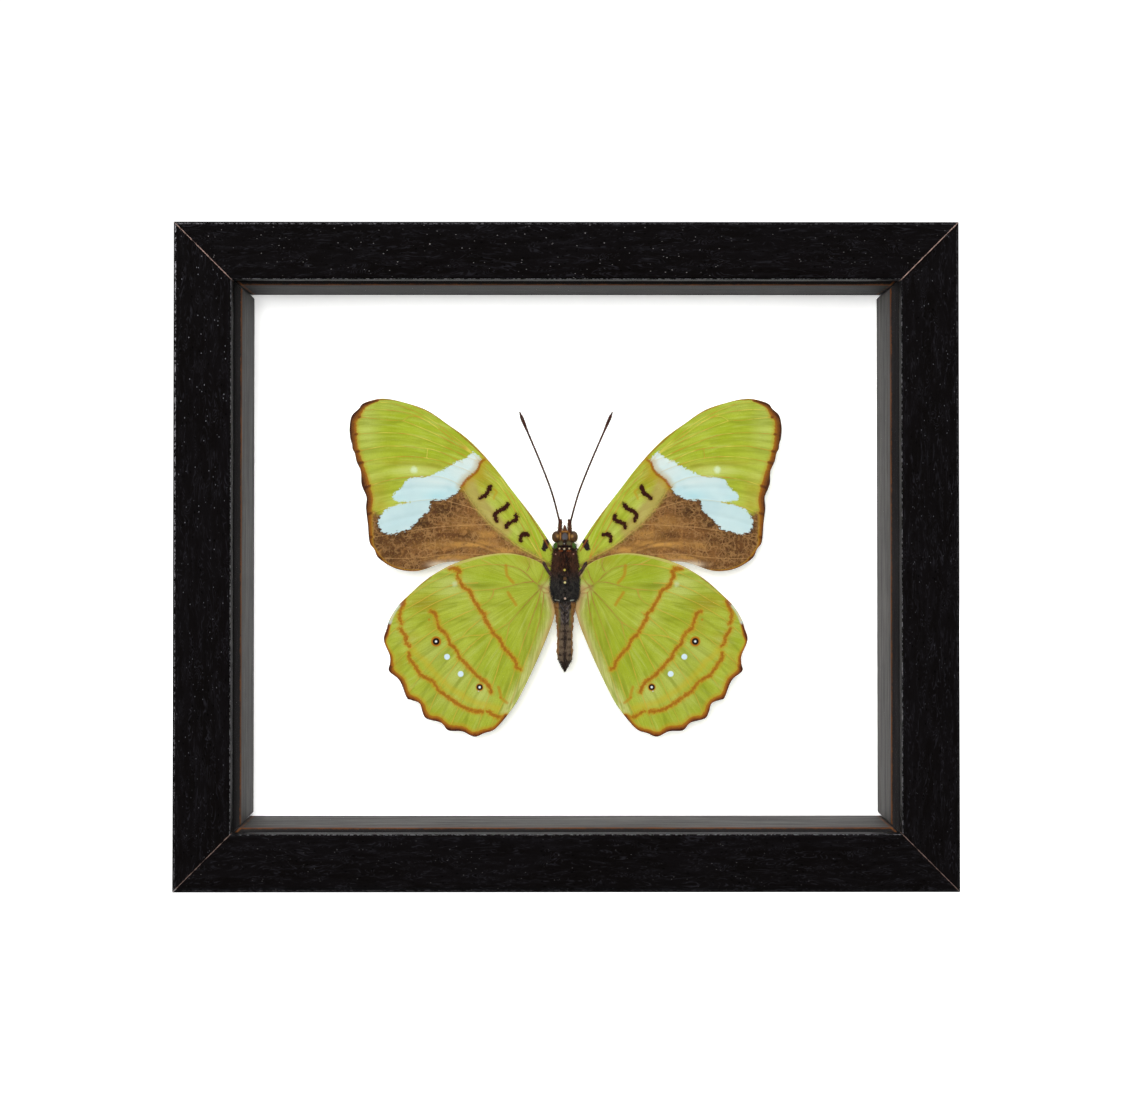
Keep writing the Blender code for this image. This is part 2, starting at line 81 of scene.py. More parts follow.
# Traced lines of the wings. Each list holds out, up, out, up and so on, in millimetres.
# Raised veins of the left forewing, from the root outwards.
FOREWING_VEINS = {
    "subcosta": [4.05, -0.41, 4.9, 1.81, 5.93, 4.2, 6.78, 6.08, 7.98, 8.13, 9.18, 10.19, 10.37, 12.07,
     11.57, 13.77, 12.77, 15.31, 13.79, 16.68, 14.99, 18.05, 16.36, 19.41, 17.89, 20.78, 19.77, 22.15,
     21.82, 23.52, 24.22, 24.8, 26.27, 25.65],
    "radius1": [4.22, -0.41, 6.61, 3.52, 8.32, 6.94, 9.69, 9.67, 10.72, 11.21, 11.74, 12.58, 12.94, 13.95,
     13.96, 15.23, 14.82, 16.17, 16.36, 17.96, 17.72, 19.24, 19.26, 20.44, 20.8, 21.64, 22.68, 23, 24.9, 24.2,
     27.29, 25.22, 29.69, 25.99, 32.08, 26.16],
    "radius2": [16.36, 17.88, 17.89, 18.9, 19.77, 20.18, 21.48, 21.47, 23.19, 22.66, 25.24, 23.77,
     27.63, 24.46, 30.03, 24.8, 32.08, 24.93, 34.13, 24.8],
    "median1": [15.16, 16.85, 17.04, 18.05, 18.75, 18.9, 20.46, 19.84, 22.17, 20.7, 24.05, 21.55,
     26.27, 22.44, 27.98, 23, 30.03, 23.09, 32.08, 23.31, 34.13, 23.52, 35.33, 23.6],
    "median2": [15.16, 16.17, 17.04, 16.94, 18.75, 17.74, 20.46, 18.47, 22.17, 19.16, 23.87, 19.84,
     25.75, 20.44, 27.29, 20.75, 29, 20.9, 31.05, 20.95, 33.1, 20.87, 35.84, 20.7],
    "median3": [17.55, 15.83, 18.92, 16.51, 20.29, 17.19, 21.65, 17.76, 23.02, 18.17, 24.9, 18.39,
     26.95, 18.59, 29, 18.68, 30.88, 18.68, 32.59, 18.39, 34.3, 18.05, 35.67, 17.71],
    "cubitus1": [16.36, 14.29, 17.72, 14.89, 19.43, 15.48, 21.31, 16.12, 23.19, 16.54, 25.24, 16.8,
     27.63, 16.88, 29.86, 16.77, 31.74, 16.51, 33.45, 16.17, 35.33, 15.74],
    "cross": [23.53, 18.25, 23.65, 17.71, 23.74, 16.68],
    "cubitus2": [17.72, 11.72, 18.92, 12.49, 20.29, 13.09, 21.65, 13.43, 23.19, 13.57, 25.24, 13.47,
     27.29, 13.35, 29.17, 13.09, 31.05, 12.66, 32.76, 12.12, 34.81, 11.38],
    "cubitus3": [14.99, 7.62, 16.36, 8.22, 17.72, 8.61, 19.09, 8.99, 20.46, 9.33, 22.17, 9.52, 23.87, 9.47,
     25.58, 9.28, 27.29, 8.99, 29, 8.56, 30.71, 8.1, 32.42, 7.45, 34.13, 6.94],
    "cubitus4": [12.94, 5.31, 14.99, 5.23, 17.04, 5.14, 19.09, 5.06, 21.14, 4.89, 23.19, 4.67, 25.24, 4.38,
     27.29, 4.03, 29.34, 3.69, 31.39, 3.35, 33.62, 3.09],
    "cellrear": [3.37, -1.09, 5.08, -0.15, 6.61, 0.62, 8.66, 1.9, 10.72, 3.52, 12.94, 5.31, 13.96, 6.43,
     14.99, 7.62, 16.18, 9.16, 17.21, 10.87, 17.89, 11.98],
    "anal": [4.22, -0.92, 7.81, -0.5, 11.23, -0.15, 13.79, 0.05, 16.01, 0.21, 17.72, 0.27, 19.77, 0.22,
     21.82, 0, 23.53, -0.27, 25.58, -0.44, 27.98, -0.5, 30.37, -0.5, 32.25, -0.41],
    "cellend": [14.65, 15.91, 14.82, 14.97, 15.67, 13.86, 16.61, 13.26, 17.72, 11.89],
    "fork": [23.19, 22.75, 24.56, 23.4, 25.75, 23.76, 26.78, 23.69, 27.81, 23.04],
}

# Shallow folds between the veins of the left forewing.
FOREWING_FOLDS = {
    "fold2": [24.9, 19.16, 26.61, 19.36, 28.32, 19.59, 30.37, 19.76, 32.42, 19.7, 34.13, 19.5, 35.67, 19.24],
    "fold3": [21.48, 14.97, 23.53, 15.4, 25.93, 15.55, 27.98, 15.48, 30.03, 15.23, 32.08, 14.63, 33.79, 14.03,
     34.81, 13.69],
    "fold4": [20.29, 11.33, 22.85, 11.52, 25.24, 11.52, 27.29, 11.35, 29, 11.04, 30.88, 10.53, 32.76, 10.01,
     34.13, 9.67],
    "fold5": [22.17, 7.37, 24.22, 7.11, 26.27, 6.68, 28.32, 6.17, 30.37, 5.57, 32.42, 4.97],
    "rearfold": [11.23, 0.7, 13.28, 1.47, 15.33, 2.12, 17.04, 2.41, 19.09, 2.5],
    "rearfold2": [11.23, -0.07, 13.96, 0.96, 16.7, 1.38, 18.41, 1.04, 20.11, 0.44, 21.82, -0.15,
     23.53, -0.92],
    "cellfold1": [5.08, 1.13, 7.13, 3.35, 9.18, 5.91, 10.89, 8.31, 12.42, 10.36, 13.79, 12.41],
    "cellfold2": [5.42, 0.44, 7.81, 2.15, 9.86, 4.38, 11.74, 6.43, 13.62, 8.65, 15.5, 11.21],
    "median1b": [27.98, 22.92, 29.34, 22.54, 30.71, 22.32, 32.42, 22.23, 34.13, 22.32, 36.01, 22.18],
}

# Raised veins of the left hindwing.
HINDWING_VEINS = {
    "costal": [4.22, -5.37, 5.59, -4.34, 6.44, -3.4, 7.64, -2.46, 8.84, -1.95, 10.37, -1.67, 11.74, -1.57,
     12.94, -1.54, 14.65, -1.67, 16.36, -1.98, 17.89, -2.38, 19.43, -2.97, 21.14, -3.74, 22.85, -4.56,
     24.56, -5.5, 26.27, -6.65, 27.81, -7.76],
    "spur": [12.6, -1.54, 13.62, -1.09, 14.48, -0.72],
    "radial": [5.59, -4.51, 7.13, -4.61, 8.66, -5.02, 10.37, -5.43, 12.08, -5.76, 13.79, -5.88, 15.5, -5.98,
     16.87, -6.05, 18.41, -6.48, 20.11, -7.16, 21.82, -7.84, 23.53, -8.75, 25.24, -9.72, 26.95, -10.84,
     28.66, -12.2, 30.2, -13.65],
    "radialfork": [14.99, -4.68, 17.04, -4.77, 18.92, -4.94, 20.46, -5.45, 21.99, -6.14, 23.36, -6.9,
     24.9, -7.84, 26.44, -8.66, 27.98, -9.55, 29.17, -10.41, 30.2, -11.26],
    "median1": [12.25, -5.79, 12.51, -6.9, 13.28, -7.84, 14.65, -8.61, 16.18, -9.38, 17.89, -10.15,
     19.6, -11.01, 21.31, -12.03, 23.02, -13.14, 24.73, -14.42, 26.44, -15.88, 27.98, -17.33, 29.69, -19.04],
    "median2": [12.94, -9.64, 14.48, -10.84, 15.67, -11.86, 16.87, -12.89, 17.72, -14],
    "median3": [12.94, -13.23, 14.48, -13.57, 16.18, -13.65, 17.72, -14, 19.09, -14.68, 20.46, -15.62,
     21.82, -16.9, 23.19, -18.53, 24.39, -19.98, 25.58, -21.6, 26.78, -23.48],
    "cubitusstem": [4.22, -5.54, 6.1, -7.5, 7.81, -9.38, 9.35, -11.18, 10.54, -11.95, 11.74, -12.68,
     12.94, -13.23],
    "cubitus1": [13.96, -13.48, 15.5, -14.77, 16.87, -16.05, 18.06, -17.5, 19.43, -19.47, 20.46, -20.92,
     21.48, -22.63, 22.51, -24.68, 23.36, -26.9, 23.7, -27.75],
    "cubitus2": [12.42, -13.65, 13.28, -15.45, 14.13, -17.33, 14.99, -19.04, 16.01, -20.83, 16.87, -22.63,
     17.72, -24.68, 18.75, -26.9, 19.77, -29.46],
    "cubitus3": [9.52, -11.35, 9.95, -13.4, 10.37, -15.28, 11.06, -17.5, 11.66, -19.55, 12.25, -21.43,
     12.94, -23.48, 13.62, -25.36, 14.48, -27.75, 15.5, -30.49],
    "anal1": [4.22, -5.71, 4.73, -7.93, 5.76, -10.66, 6.78, -13.4, 7.64, -15.96, 8.32, -18.18, 9.18, -21.09,
     10.2, -23.99, 11.57, -26.73, 13.28, -29.98],
    "anal2": [3.71, -6.22, 4.05, -9.3, 4.9, -12.71, 6.1, -16.13, 7.3, -19.21, 8.32, -22.11, 9.35, -25.19],
    "shoulder": [4.22, -5.37, 3.54, -4.68, 2.85, -3.66, 2.51, -2.97],
    "shoulder2": [4.22, -5.37, 3.37, -5.62, 2.51, -6.22],
    "rootfork": [4.22, -5.54, 3.79, -6.31, 2.85, -6.39],
    "humeral": [4.73, -4.68, 4.22, -3.83, 3.88, -2.8, 3.54, -2.12],
    "humeral2": [6.61, -2.63, 6.27, -1.95, 6.19, -1.09, 6.61, -0.32],
}

# Shallow folds between the veins, and the pleats beside the abdomen.
HINDWING_FOLDS = {
    "fold1": [18.75, -8.61, 20.46, -9.21, 22.17, -9.98, 23.7, -11.01, 25.07, -12.03, 26.44, -13.23,
     27.81, -14.48, 29, -15.62, 30.03, -16.82],
    "fold3": [21.48, -15.28, 23.02, -16.3, 24.73, -17.5, 26.27, -18.87, 27.46, -20.15, 28.32, -21.26],
    "fold4": [18.92, -16.47, 20.29, -18.01, 21.48, -19.55, 22.68, -21.09, 23.7, -22.63, 24.9, -25.02],
    "fold5": [17.04, -19.55, 18.24, -21.6, 19.26, -23.31, 20.11, -25.19, 20.8, -26.9, 21.31, -28.27],
    "fold6": [13.45, -19.89, 14.48, -22.46, 15.5, -24.34, 16.36, -26.39, 17.38, -29.46],
    "inner1": [4.96, -10.87, 5.67, -13.14, 6.44, -16.13, 7.52, -19.21],
    "inner2": [4.22, -8.44, 4.39, -12.85, 5.54, -16.7, 6.39, -20.41, 7.98, -23.31, 9.86, -26.05],
    "inner3": [3.45, -7.59, 3.54, -11.35, 4.39, -15.28, 5.42, -18.7, 6.44, -21.94],
    "inner4": [2.77, -7.25, 2.6, -9.64, 3.02, -13.06, 4.14, -16.3, 5.42, -19.72],
}

# Markings of the left forewing: outlines of the areas, and midlines of the bars and lines.
FOREWING_MARKS = {
    "band": [15.84, 17.71, 15.24, 17.19, 14.48, 16.34, 14.9, 15.31, 15.5, 14.29, 16.7, 13.43, 17.12, 12.75,
     17.89, 11.89, 18.24, 11.21, 19.09, 10.36, 20.46, 9.67, 21.99, 9.5, 22.93, 9.42, 23.19, 8.9, 23.36, 7.79,
     24.39, 6.85, 25.5, 5.74, 26.61, 4.63, 28.15, 4.03, 30.2, 3.69, 31.39, 4.12, 31.99, 5.23, 31.63, 6.77,
     30.71, 7.79, 29.17, 8.51, 27.63, 8.96, 26.61, 9.13, 27.63, 9.19, 29.17, 9.45, 29.51, 10.25, 28.66, 11.04,
     27.81, 11.89, 27.12, 12.92, 25.5, 13.38, 23.19, 13.55, 22.17, 14.12, 20.8, 14.71, 18.92, 15.83,
     17.38, 16.51, 16.59, 17.02],
    "orange edge": [13.96, 16.34, 14.65, 15.74, 14.82, 15.06, 15.42, 14.12, 16.27, 13.43, 17.04, 12.83,
     17.72, 11.89],
    "bar 1": [12.89, 11.72, 13.19, 11.04, 13.54, 10.44, 14.13, 10.13, 14.59, 9.79],
    "bar 2": [9.98, 8.65, 10.49, 8.05, 11.23, 7.66, 11.78, 7.35, 12.08, 6.77, 11.78, 5.91],
    "bar 3": [8.44, 6.77, 8.46, 6.12, 9.26, 5.69, 9.98, 5.4, 10.15, 4.8],
    "bar 4": [6.56, 3.54, 7.21, 3.61, 7.67, 3.18, 7.71, 2.5],
    "bar orange": [12.2, 11.3, 11.81, 10.87, 12.17, 10.19, 12.34, 9.67],
    "root patch": [3.28, 2.2, 3.48, 1.65, 3.66, 1.15],
    "mauve": [16.53, 12.24, 15.67, 10.36, 14.3, 8.48, 12.6, 6.43, 10.54, 4.2],
    "brown": [17.89, 12.24, 20.63, 10.53, 23.02, 9.84, 24.05, 8.65, 28.32, 7.45, 31.05, 6.77, 32.42, 7.28,
     34.47, 7.62, 36.01, 2.67, 33.45, -5.02, 23.19, -6.73, 0.12, -4.17, 3.37, -1.26, 5.08, -0.15, 6.61, 0.62,
     8.66, 1.9, 10.72, 3.52, 12.94, 5.31, 13.96, 6.43, 14.99, 7.62, 16.18, 9.16, 17.21, 10.87],
    "outer": [32.08, 26.54, 33.62, 26.08, 34.81, 25.65, 35.84, 24.54, 36.78, 23.17, 36.86, 21.47,
     36.78, 19.76, 36.52, 18.05, 36.01, 16.34, 35.5, 14.63, 34.9, 12.92, 34.47, 11.21, 34.04, 9.5,
     34.13, 7.79, 34.04, 6.08, 33.79, 4.03, 33.45, 1.81, 32.42, 0.27, 31.22, -1.09, 29.51, -2.12,
     27.12, -2.72, 24.05, -2.63, 20.63, -1.61, 18.06, -1.26],
    "front": [2.51, 0.79, 3.88, 3.18, 5.59, 6.08, 7.81, 9.5, 10.37, 13.26, 13.28, 16.34, 16.36, 19.24,
     19.43, 21.89, 22.17, 23.86, 24.9, 25.31, 27.63, 26.25, 30.03, 26.63, 32.42, 26.59],
}

# Markings of the left hindwing.
HINDWING_MARKS = {
    "median line": [19.77, -2.2, 18.75, -2.38, 18.15, -2.72, 18.49, -3.49, 18.1, -4.17, 17.89, -4.85,
     17.21, -5.59, 16.53, -5.88, 16.1, -6.65, 15.76, -7.5, 15.07, -8.44, 14.56, -9.47, 13.88, -9.98,
     13.83, -10.75, 13.28, -11.69, 12.6, -12.89, 12.08, -13.57, 11.31, -14.17, 10.89, -15.11, 10.37, -15.96,
     9.52, -16.82, 8.84, -17.67, 8.41, -18.44, 8.36, -19.04, 7.72, -19.38],
    "postmedian": [23.02, -9.55, 22.34, -9.9, 22.08, -10.58, 21.82, -11.69, 21.4, -12.54, 20.54, -13.23,
     20.03, -14, 19.77, -14.94, 18.92, -15.79, 18.41, -16.65, 18.06, -17.41, 17.3, -18.18, 16.53, -19.04,
     15.67, -19.98, 14.65, -20.92, 13.62, -21.6, 13.02, -22.46, 12.68, -23.31],
    "submarginal a": [27.46, -7.93, 27.89, -8.78, 28.23, -9.64, 28.32, -10.66, 27.98, -11.6],
    "submarginal b": [28.15, -12.54, 27.55, -13.4, 27.12, -14.08, 27.21, -14.77, 26.61, -15.45],
    "submarginal c": [26.69, -16.65, 26.61, -17.59, 25.93, -18.53, 25.24, -19.55, 24.64, -20.41, 23.53, -21,
     22.59, -21.6, 21.99, -22.46, 21.23, -23.31, 20.29, -23.99, 19.43, -24.59, 18.41, -25.28, 17.38, -25.87,
     16.18, -26.39, 14.99, -26.56, 14.3, -26.64],
    "submarginal d": [13.28, -26.56, 12.42, -27.07, 11.74, -27.5, 10.89, -27.58],
    "basal a": [10.2, -1.69, 10.12, -2.63, 10.03, -3.32, 9.69, -3.83, 8.92, -4.68],
    "basal b": [9.86, -6.31, 9.52, -6.9, 9.01, -7.59, 8.49, -8.44],
    "tornal": [11.48, -22.46, 11.14, -23.48, 10.97, -24.34, 10.03, -25.11],
    "costal blot": [19.6, -2.03, 18.58, -2.2],
    "chain": [25.93, -16.13, 25.11, -17.21, 23.96, -18.01, 22.97, -19.38, 22.17, -20.23, 21.26, -21.12,
     20.25, -22.03, 19.09, -22.97, 17.98, -23.62, 17.04, -24.25, 15.55, -25.02, 14.27, -25.4, 12.94, -25.62,
     11.57, -26.05],
    "front stripe": [23.19, -3.49, 24.56, -4.51, 26.27, -5.88, 27.55, -7.25, 27.98, -8.27],
    "front edge": [2.51, -3.66, 3.54, -1.78, 5.25, -0.58, 7.81, 0.19, 10.37, 0.36, 12.94, 0.1, 16.36, -0.75,
     19.77, -1.86, 22.85, -3.32, 25.75, -5.37, 27.63, -7.25, 29, -8.96, 29.86, -11.01],
    "outer": [30.03, -11.35, 30.54, -13.23, 31.05, -14.77, 30.63, -16.13, 30.11, -17.33, 30.08, -18.7,
     29.86, -19.89, 29, -20.75, 28.23, -21.43, 27.81, -22.46, 27.46, -23.65, 26.78, -24.42, 25.75, -24.85,
     24.9, -25.62, 24.39, -26.9, 23.87, -27.75, 23.02, -28.1, 21.82, -28.27, 20.97, -29.04, 19.94, -29.72,
     18.75, -29.8, 17.55, -29.98, 16.36, -30.74, 15.16, -30.88, 13.96, -30.4, 12.77, -30.15, 11.74, -29.55,
     10.89, -28.52, 10.2, -27.41],
    "pale margin": [30.03, -11.35, 29.6, -10.15, 28.92, -9.04, 28.15, -8.1],
    "inner edge": [2.85, -5.71, 2.39, -7.08, 2.03, -8.61, 1.73, -9.98, 2.26, -11.72, 3.11, -13.91,
     4.1, -16.27, 4.96, -18.13, 5.81, -19.98, 6.96, -22.46, 8.24, -24.68, 9.52, -26.73],
}

# Outlines of the left wings as (out, up).
FOREWING = [
    (2.1, 1.2), (3.8, 3.9), (5.9, 6.9), (9.0, 10.9), (12.4, 15.3), (16.4, 19.6), (20.3, 22.5), (23.9, 24.9),
    (28.2, 26.3), (31.1, 26.8), (33.1, 26.5), (34.7, 25.9), (35.3, 25.1), (36.5, 23.9), (36.9, 22.0),
    (36.8, 20.1), (36.5, 19.0), (36.4, 18.2), (36.0, 17.4), (35.7, 16.0), (35.0, 14.4), (34.9, 12.4),
    (34.6, 11.4), (34.0, 9.9), (34.1, 8.1), (33.8, 5.4), (33.5, 2.3), (32.7, 1.1), (32.2, -0.1), (31.4, -0.9),
    (29.8, -1.9), (28.1, -2.5), (26.0, -2.7), (24.2, -2.4), (19.8, -1.1), (12.0, -1.2), (6.0, -2.0),
    (2.8, -3.2), (1.4, -3.4), (1.1, -1.2), (1.4, 0.4)]
HINDWING = [
    (3.4, -1.8), (5.2, -0.8), (7.5, 0.0), (10.5, 0.4), (14.0, 0.0), (17.4, -0.8), (20.6, -2.1), (23.9, -4.2),
    (26.6, -6.6), (28.6, -8.6), (30.0, -10.8), (30.5, -12.4), (31.0, -14.4), (30.0, -17.0), (29.95, -18.4),
    (30.1, -19.7), (28.3, -21.3), (27.1, -24.2), (26.4, -24.6), (24.9, -25.2), (24.4, -26.7), (23.7, -27.8),
    (21.3, -28.5), (20.3, -29.6), (19.6, -29.9), (17.6, -30.0), (15.6, -30.9), (13.9, -30.3), (12.2, -29.7),
    (10.4, -27.8), (8.5, -25.2), (7.1, -22.6), (4.7, -17.5), (2.5, -12.2), (1.9, -10.2), (1.5, -8.9),
    (1.3, -7.4), (1.3, -4.6), (1.7, -2.6), (2.5, -2.0)]
# The body's outline as (up, half width), from the top down.
THORAX = [
    (2.4, 0.0), (2.3, 1.2), (2.0, 1.62), (1.5, 1.78), (0.9, 1.82), (0.2, 1.86), (-1.2, 2.02), (-2.8, 2.18),
    (-4.6, 2.28), (-6.0, 2.24), (-6.9, 2.05), (-7.5, 1.74), (-7.95, 1.2), (-8.1, 0.0)]
ABDOMEN = [
    (-7.6, 0.0), (-7.8, 1.5), (-8.4, 1.7), (-9.2, 1.62), (-10.1, 1.48), (-11.9, 1.3), (-13.6, 1.2),
    (-15.3, 1.22), (-16.4, 1.25), (-17.3, 1.14), (-17.9, 1.02), (-18.5, 0.72), (-19.2, 0.38), (-19.75, 0.12),
    (-19.85, 0.0)]
# Slim parts beside the body as (out from the body's middle, up, depth) points.
ANTENNA = [(0.9, 5.25, -3.2), (1.15, 6.6, -3.4), (2.36, 10.9, -3.5), (4.3, 15.9, -3.3), (6.9, 22.0, -2.9),
           (7.8, 24.2, -2.8)]
PALP = [(0.86, 3.9, -3.0), (0.80, 5.2, -3.0), (0.70, 6.12, -2.9)]
FACE_TUFT = [(0.0, 4.1, -3.0), (0.0, 4.7, -3.0), (-0.06, 5.16, -2.9)]
WING_ROOT = [(3.68, -1.1, -2.6), (3.2, -2.05, -2.8), (2.2, -3.5, -3.3)]

# Soft patches of another shade on the wings: (out, up, reach out, reach up, strength).
FOREWING_PATCHES = {
    "pale": [(25.0, 14.4, 3.4, 1.1, 1.0), (34.0, 22.0, 2.0, 6.0, 0.6), (20.5, 24.0, 3.0, 0.7, 0.5),
             (33.0, 9.5, 2.0, 1.6, 0.5), (33.0, 13.5, 2.2, 1.4, 0.5), (12.8, 8.0, 1.6, 2.2, 0.6),
             (8.2, 4.0, 1.6, 1.6, 0.5), (30.0, 25.5, 3.0, 0.8, 0.4)],
    "olive": [(14.2, 13.4, 1.8, 1.9, 1.0), (28.0, 15.8, 5.0, 0.5, 0.5), (32.0, 11.0, 1.6, 2.4, 0.6),
              (12.6, 10.6, 1.0, 1.0, 0.5), (31.6, 8.6, 1.4, 1.2, 0.7), (22.5, 15.4, 2.6, 0.6, 0.5),
              (6.0, 0.4, 1.2, 0.8, 0.5)],
    "bright": [(26.0, 22.0, 7.0, 3.0, 0.7), (24.0, 17.5, 6.0, 1.5, 0.8), (5.4, 3.8, 1.5, 2.2, 1.0),
               (14.5, 18.4, 2.5, 1.2, 0.5), (28.0, 19.0, 5.0, 1.6, 0.4)],
    "tan": [(16.0, 1.9, 4.6, 0.7, 1.0), (10.5, 0.9, 3.0, 0.7, 1.0), (19.5, -0.4, 4.0, 0.5, 0.8),
            (17.0, 5.6, 2.6, 1.2, 0.55), (23.0, 1.6, 2.2, 0.6, 0.5), (13.6, 3.6, 2.2, 0.8, 0.7)],
    "dark": [(21.0, 7.6, 2.4, 1.5, 0.9), (19.0, 9.0, 1.2, 0.9, 0.8), (24.5, 5.4, 2.0, 1.2, 0.9),
             (28.0, 3.0, 3.6, 1.6, 0.7), (29.0, 0.4, 3.0, 1.6, 0.55), (26.0, -1.8, 3.0, 0.8, 0.5),
             (31.8, 3.5, 1.4, 2.4, 0.5), (17.6, 3.4, 3.0, 0.5, 0.45)],
    "cream": [(21.3, -1.6, 1.8, 0.5, 1.0), (19.0, -1.3, 1.6, 0.4, 0.8)],
    "whiter": [(16.0, 16.2, 3.6, 1.5, 0.9), (17.6, 14.2, 2.4, 1.4, 0.7), (22.0, 12.6, 2.4, 0.5, 0.5)],
    "cyan": [(21.6, 10.1, 2.4, 0.9, 1.0), (19.0, 11.2, 1.6, 0.8, 0.6), (28.6, 9.9, 1.4, 0.7, 0.4)],
}
HINDWING_PATCHES = {
    "pale": [(19.2, -5.2, 3.0, 1.9, 1.0), (22.5, -16.5, 2.4, 2.2, 0.6), (18.5, -20.5, 2.6, 2.6, 0.7),
             (14.5, -23.4, 2.0, 2.4, 0.8), (27.0, -14.5, 1.4, 1.2, 0.4), (14.0, -11.0, 2.0, 1.4, 0.5),
             (15.8, -7.6, 1.0, 1.6, 0.5), (25.5, -5.6, 2.2, 0.7, 0.5), (9.2, -24.6, 0.8, 2.4, 0.5),
             (20.0, -24.5, 4.0, 1.6, 0.4), (28.3, -11.6, 1.2, 1.6, 0.3)],
    "olive": [(24.2, -8.2, 2.6, 1.4, 0.9), (22.5, -12.0, 1.5, 1.4, 0.5), (6.6, -0.9, 1.6, 0.9, 0.5),
              (25.8, -14.2, 1.2, 1.4, 0.4), (28.4, -18.0, 0.8, 2.0, 0.5)],
    "bright": [(13.0, -4.0, 4.2, 1.2, 0.8), (13.0, -20.0, 3.0, 4.0, 0.5), (10.0, -16.0, 2.4, 4.0, 0.5),
               (12.0, 0.0, 4.5, 0.8, 0.5), (21.0, -7.4, 2.0, 1.6, 0.3)],
    "deep": [(15.0, -5.2, 3.4, 0.5, 1.0), (7.0, -14.0, 0.5, 4.0, 0.6), (12.0, -8.4, 2.6, 0.4, 0.5),
             (18.0, -10.9, 3.0, 0.35, 0.5), (8.4, -22.0, 0.5, 3.6, 0.7), (6.0, -18.0, 0.4, 3.0, 0.6)],
}

# Round spots of the left wings: (out, up, radius).
FOREWING_DOTS = {"pale spot": [(25.93, 14.63, 0.6)]}
HINDWING_DOTS = {
    "eye front": [(22.10, -14.66, 0.0)],
    "eye rear": [(14.68, -22.47, 0.0)],
    "pale dots": [(20.24, -17.28, 0.50), (17.91, -20.20, 0.50), (14.85, -23.09, 0.14)],
    "faint dots": [(18.92, -4.90, 0.5)],
    "rust dots": [(23.29, -10.94, 0.24), (11.14, -24.25, 0.24)],
}

# The markings that are lines: their field, the lines it takes together, and their half widths at the start
# and, where it differs, at the end.
FOREWING_LINES = [
    ("front", ["front"], 0.0), ("mauve", ["mauve"], 0.5), ("orange edge", ["orange edge"], 0.18),
    ("bar orange", ["bar orange"], 0.1), ("root patch", ["root patch"], 0.45, 0.3),
    ("bars", ["bar 1", "bar 2", "bar 3", "bar 4"], 0.40, 0.34)]
HINDWING_LINES = [
    ("inner edge", ["inner edge"], 0.0), ("front edge", ["front edge"], 0.0),
    ("front stripe", ["front stripe"], 0.2), ("pale margin", ["pale margin"], 0.1), ("chain", ["chain"], 0.1),
    ("lines", ["median line", "postmedian", "submarginal a", "submarginal b", "submarginal c",
               "submarginal d", "costal blot"], 0.33),
    ("faint lines", ["basal a", "basal b", "tornal"], 0.2)]

# Widths of the dark borders in millimetres, evenly spread from the wing's tip to its rear corner.
FOREWING_BORDER = [
    0.2, 0.4, 0.75, 1.05, 1.1, 1.15, 1.15, 1.1, 1.15, 1.2, 1.2, 1.2, 1.15, 1.0, 0.9, 0.75, 0.55, 0.42, 0.34,
    0.3, 0.28, 0.24, 0.14, 0.08]
HINDWING_BORDER = [0.3, 0.5, 0.7, 0.8, 0.8, 0.8, 0.85, 0.85, 0.85, 0.85, 0.85, 0.8, 0.7, 0.45]

# Small marks of the thorax and head: (out from the body's middle, up, reach, colour as red, green, blue).
BODY_DOTS = [
    (-0.92, 1.2, 0.15, (226, 205, 160)), (-0.10, 1.13, 0.17, (226, 210, 170)),
    (0.74, 1.2, 0.15, (226, 205, 160)), (-1.57, 0.24, 0.13, (205, 150, 130)),
    (1.47, 0.27, 0.13, (205, 150, 130)), (-0.05, -2.43, 0.2, (232, 212, 92)),
    (0.0, -3.91, 0.3, (110, 78, 48)), (0.0, -4.56, 0.2, (242, 226, 150)),
    (0.03, -7.28, 0.2, (240, 206, 180)), (-0.1, 2.02, 0.13, (150, 146, 140))]
# Patches of head and collar on both sides: (out, up, reach out, reach up, strength, colour).
HEAD_PATCHES = [
    (0.80, 3.55, 0.17, 0.95, 0.85, (186, 128, 60)), (0.35, 4.12, 0.5, 0.17, 0.8, (176, 122, 58)),
    (0.0, 3.2, 0.5, 0.62, 0.95, (92, 90, 94)), (0.0, 2.35, 0.3, 0.4, 0.9, (30, 19, 17)),
    (0.72, 2.12, 0.42, 0.42, 0.85, (98, 92, 60)), (1.62, 1.75, 0.36, 0.62, 0.95, (78, 116, 48)),
    (0.4, 1.55, 0.85, 0.17, 0.95, (12, 8, 7)), (0.72, 0.8, 0.42, 0.15, 0.8, (134, 66, 24)),
    (1.35, 1.0, 0.35, 0.3, 0.8, (16, 10, 9))]

SIDES = (("left", -1), ("right", 1))
SET_LIGHT = 0.85   # the share of a colour's screen value that a surface needs under these lights
BOARD_PAINTED_GLOW = 0.38  # a painted glow of the white board itself, that lightens the shade and shadows on it
BEND_STEPS = 4     # points on a smooth curve for each point that it is drawn from
STRIP_STEPS = 72   # pieces that a strip is cut into along its length
AFAR = 99.0        # a distance beyond everything on a wing, in millimetres

# The relief of the wings, in millimetres.
VEIN_WIDTHS = (0.07, 0.04)  # half widths at a vein's root and at its tip
VEIN_REACH = 0.14   # how far a vein's crest slopes
FOLD_REACH = 0.45   # how far a fold's slopes reach
SAG_REACH = 1.1     # how far from a vein the skin sags
RIM_REACH = 0.6     # how far from the rim the relief has its full height
STRAIGHT_RUN = 14.0  # how far the veins run straight from a wing's root
VEIN_BEND = 1.2     # degrees that the forewing's veins turn per millimetre after that

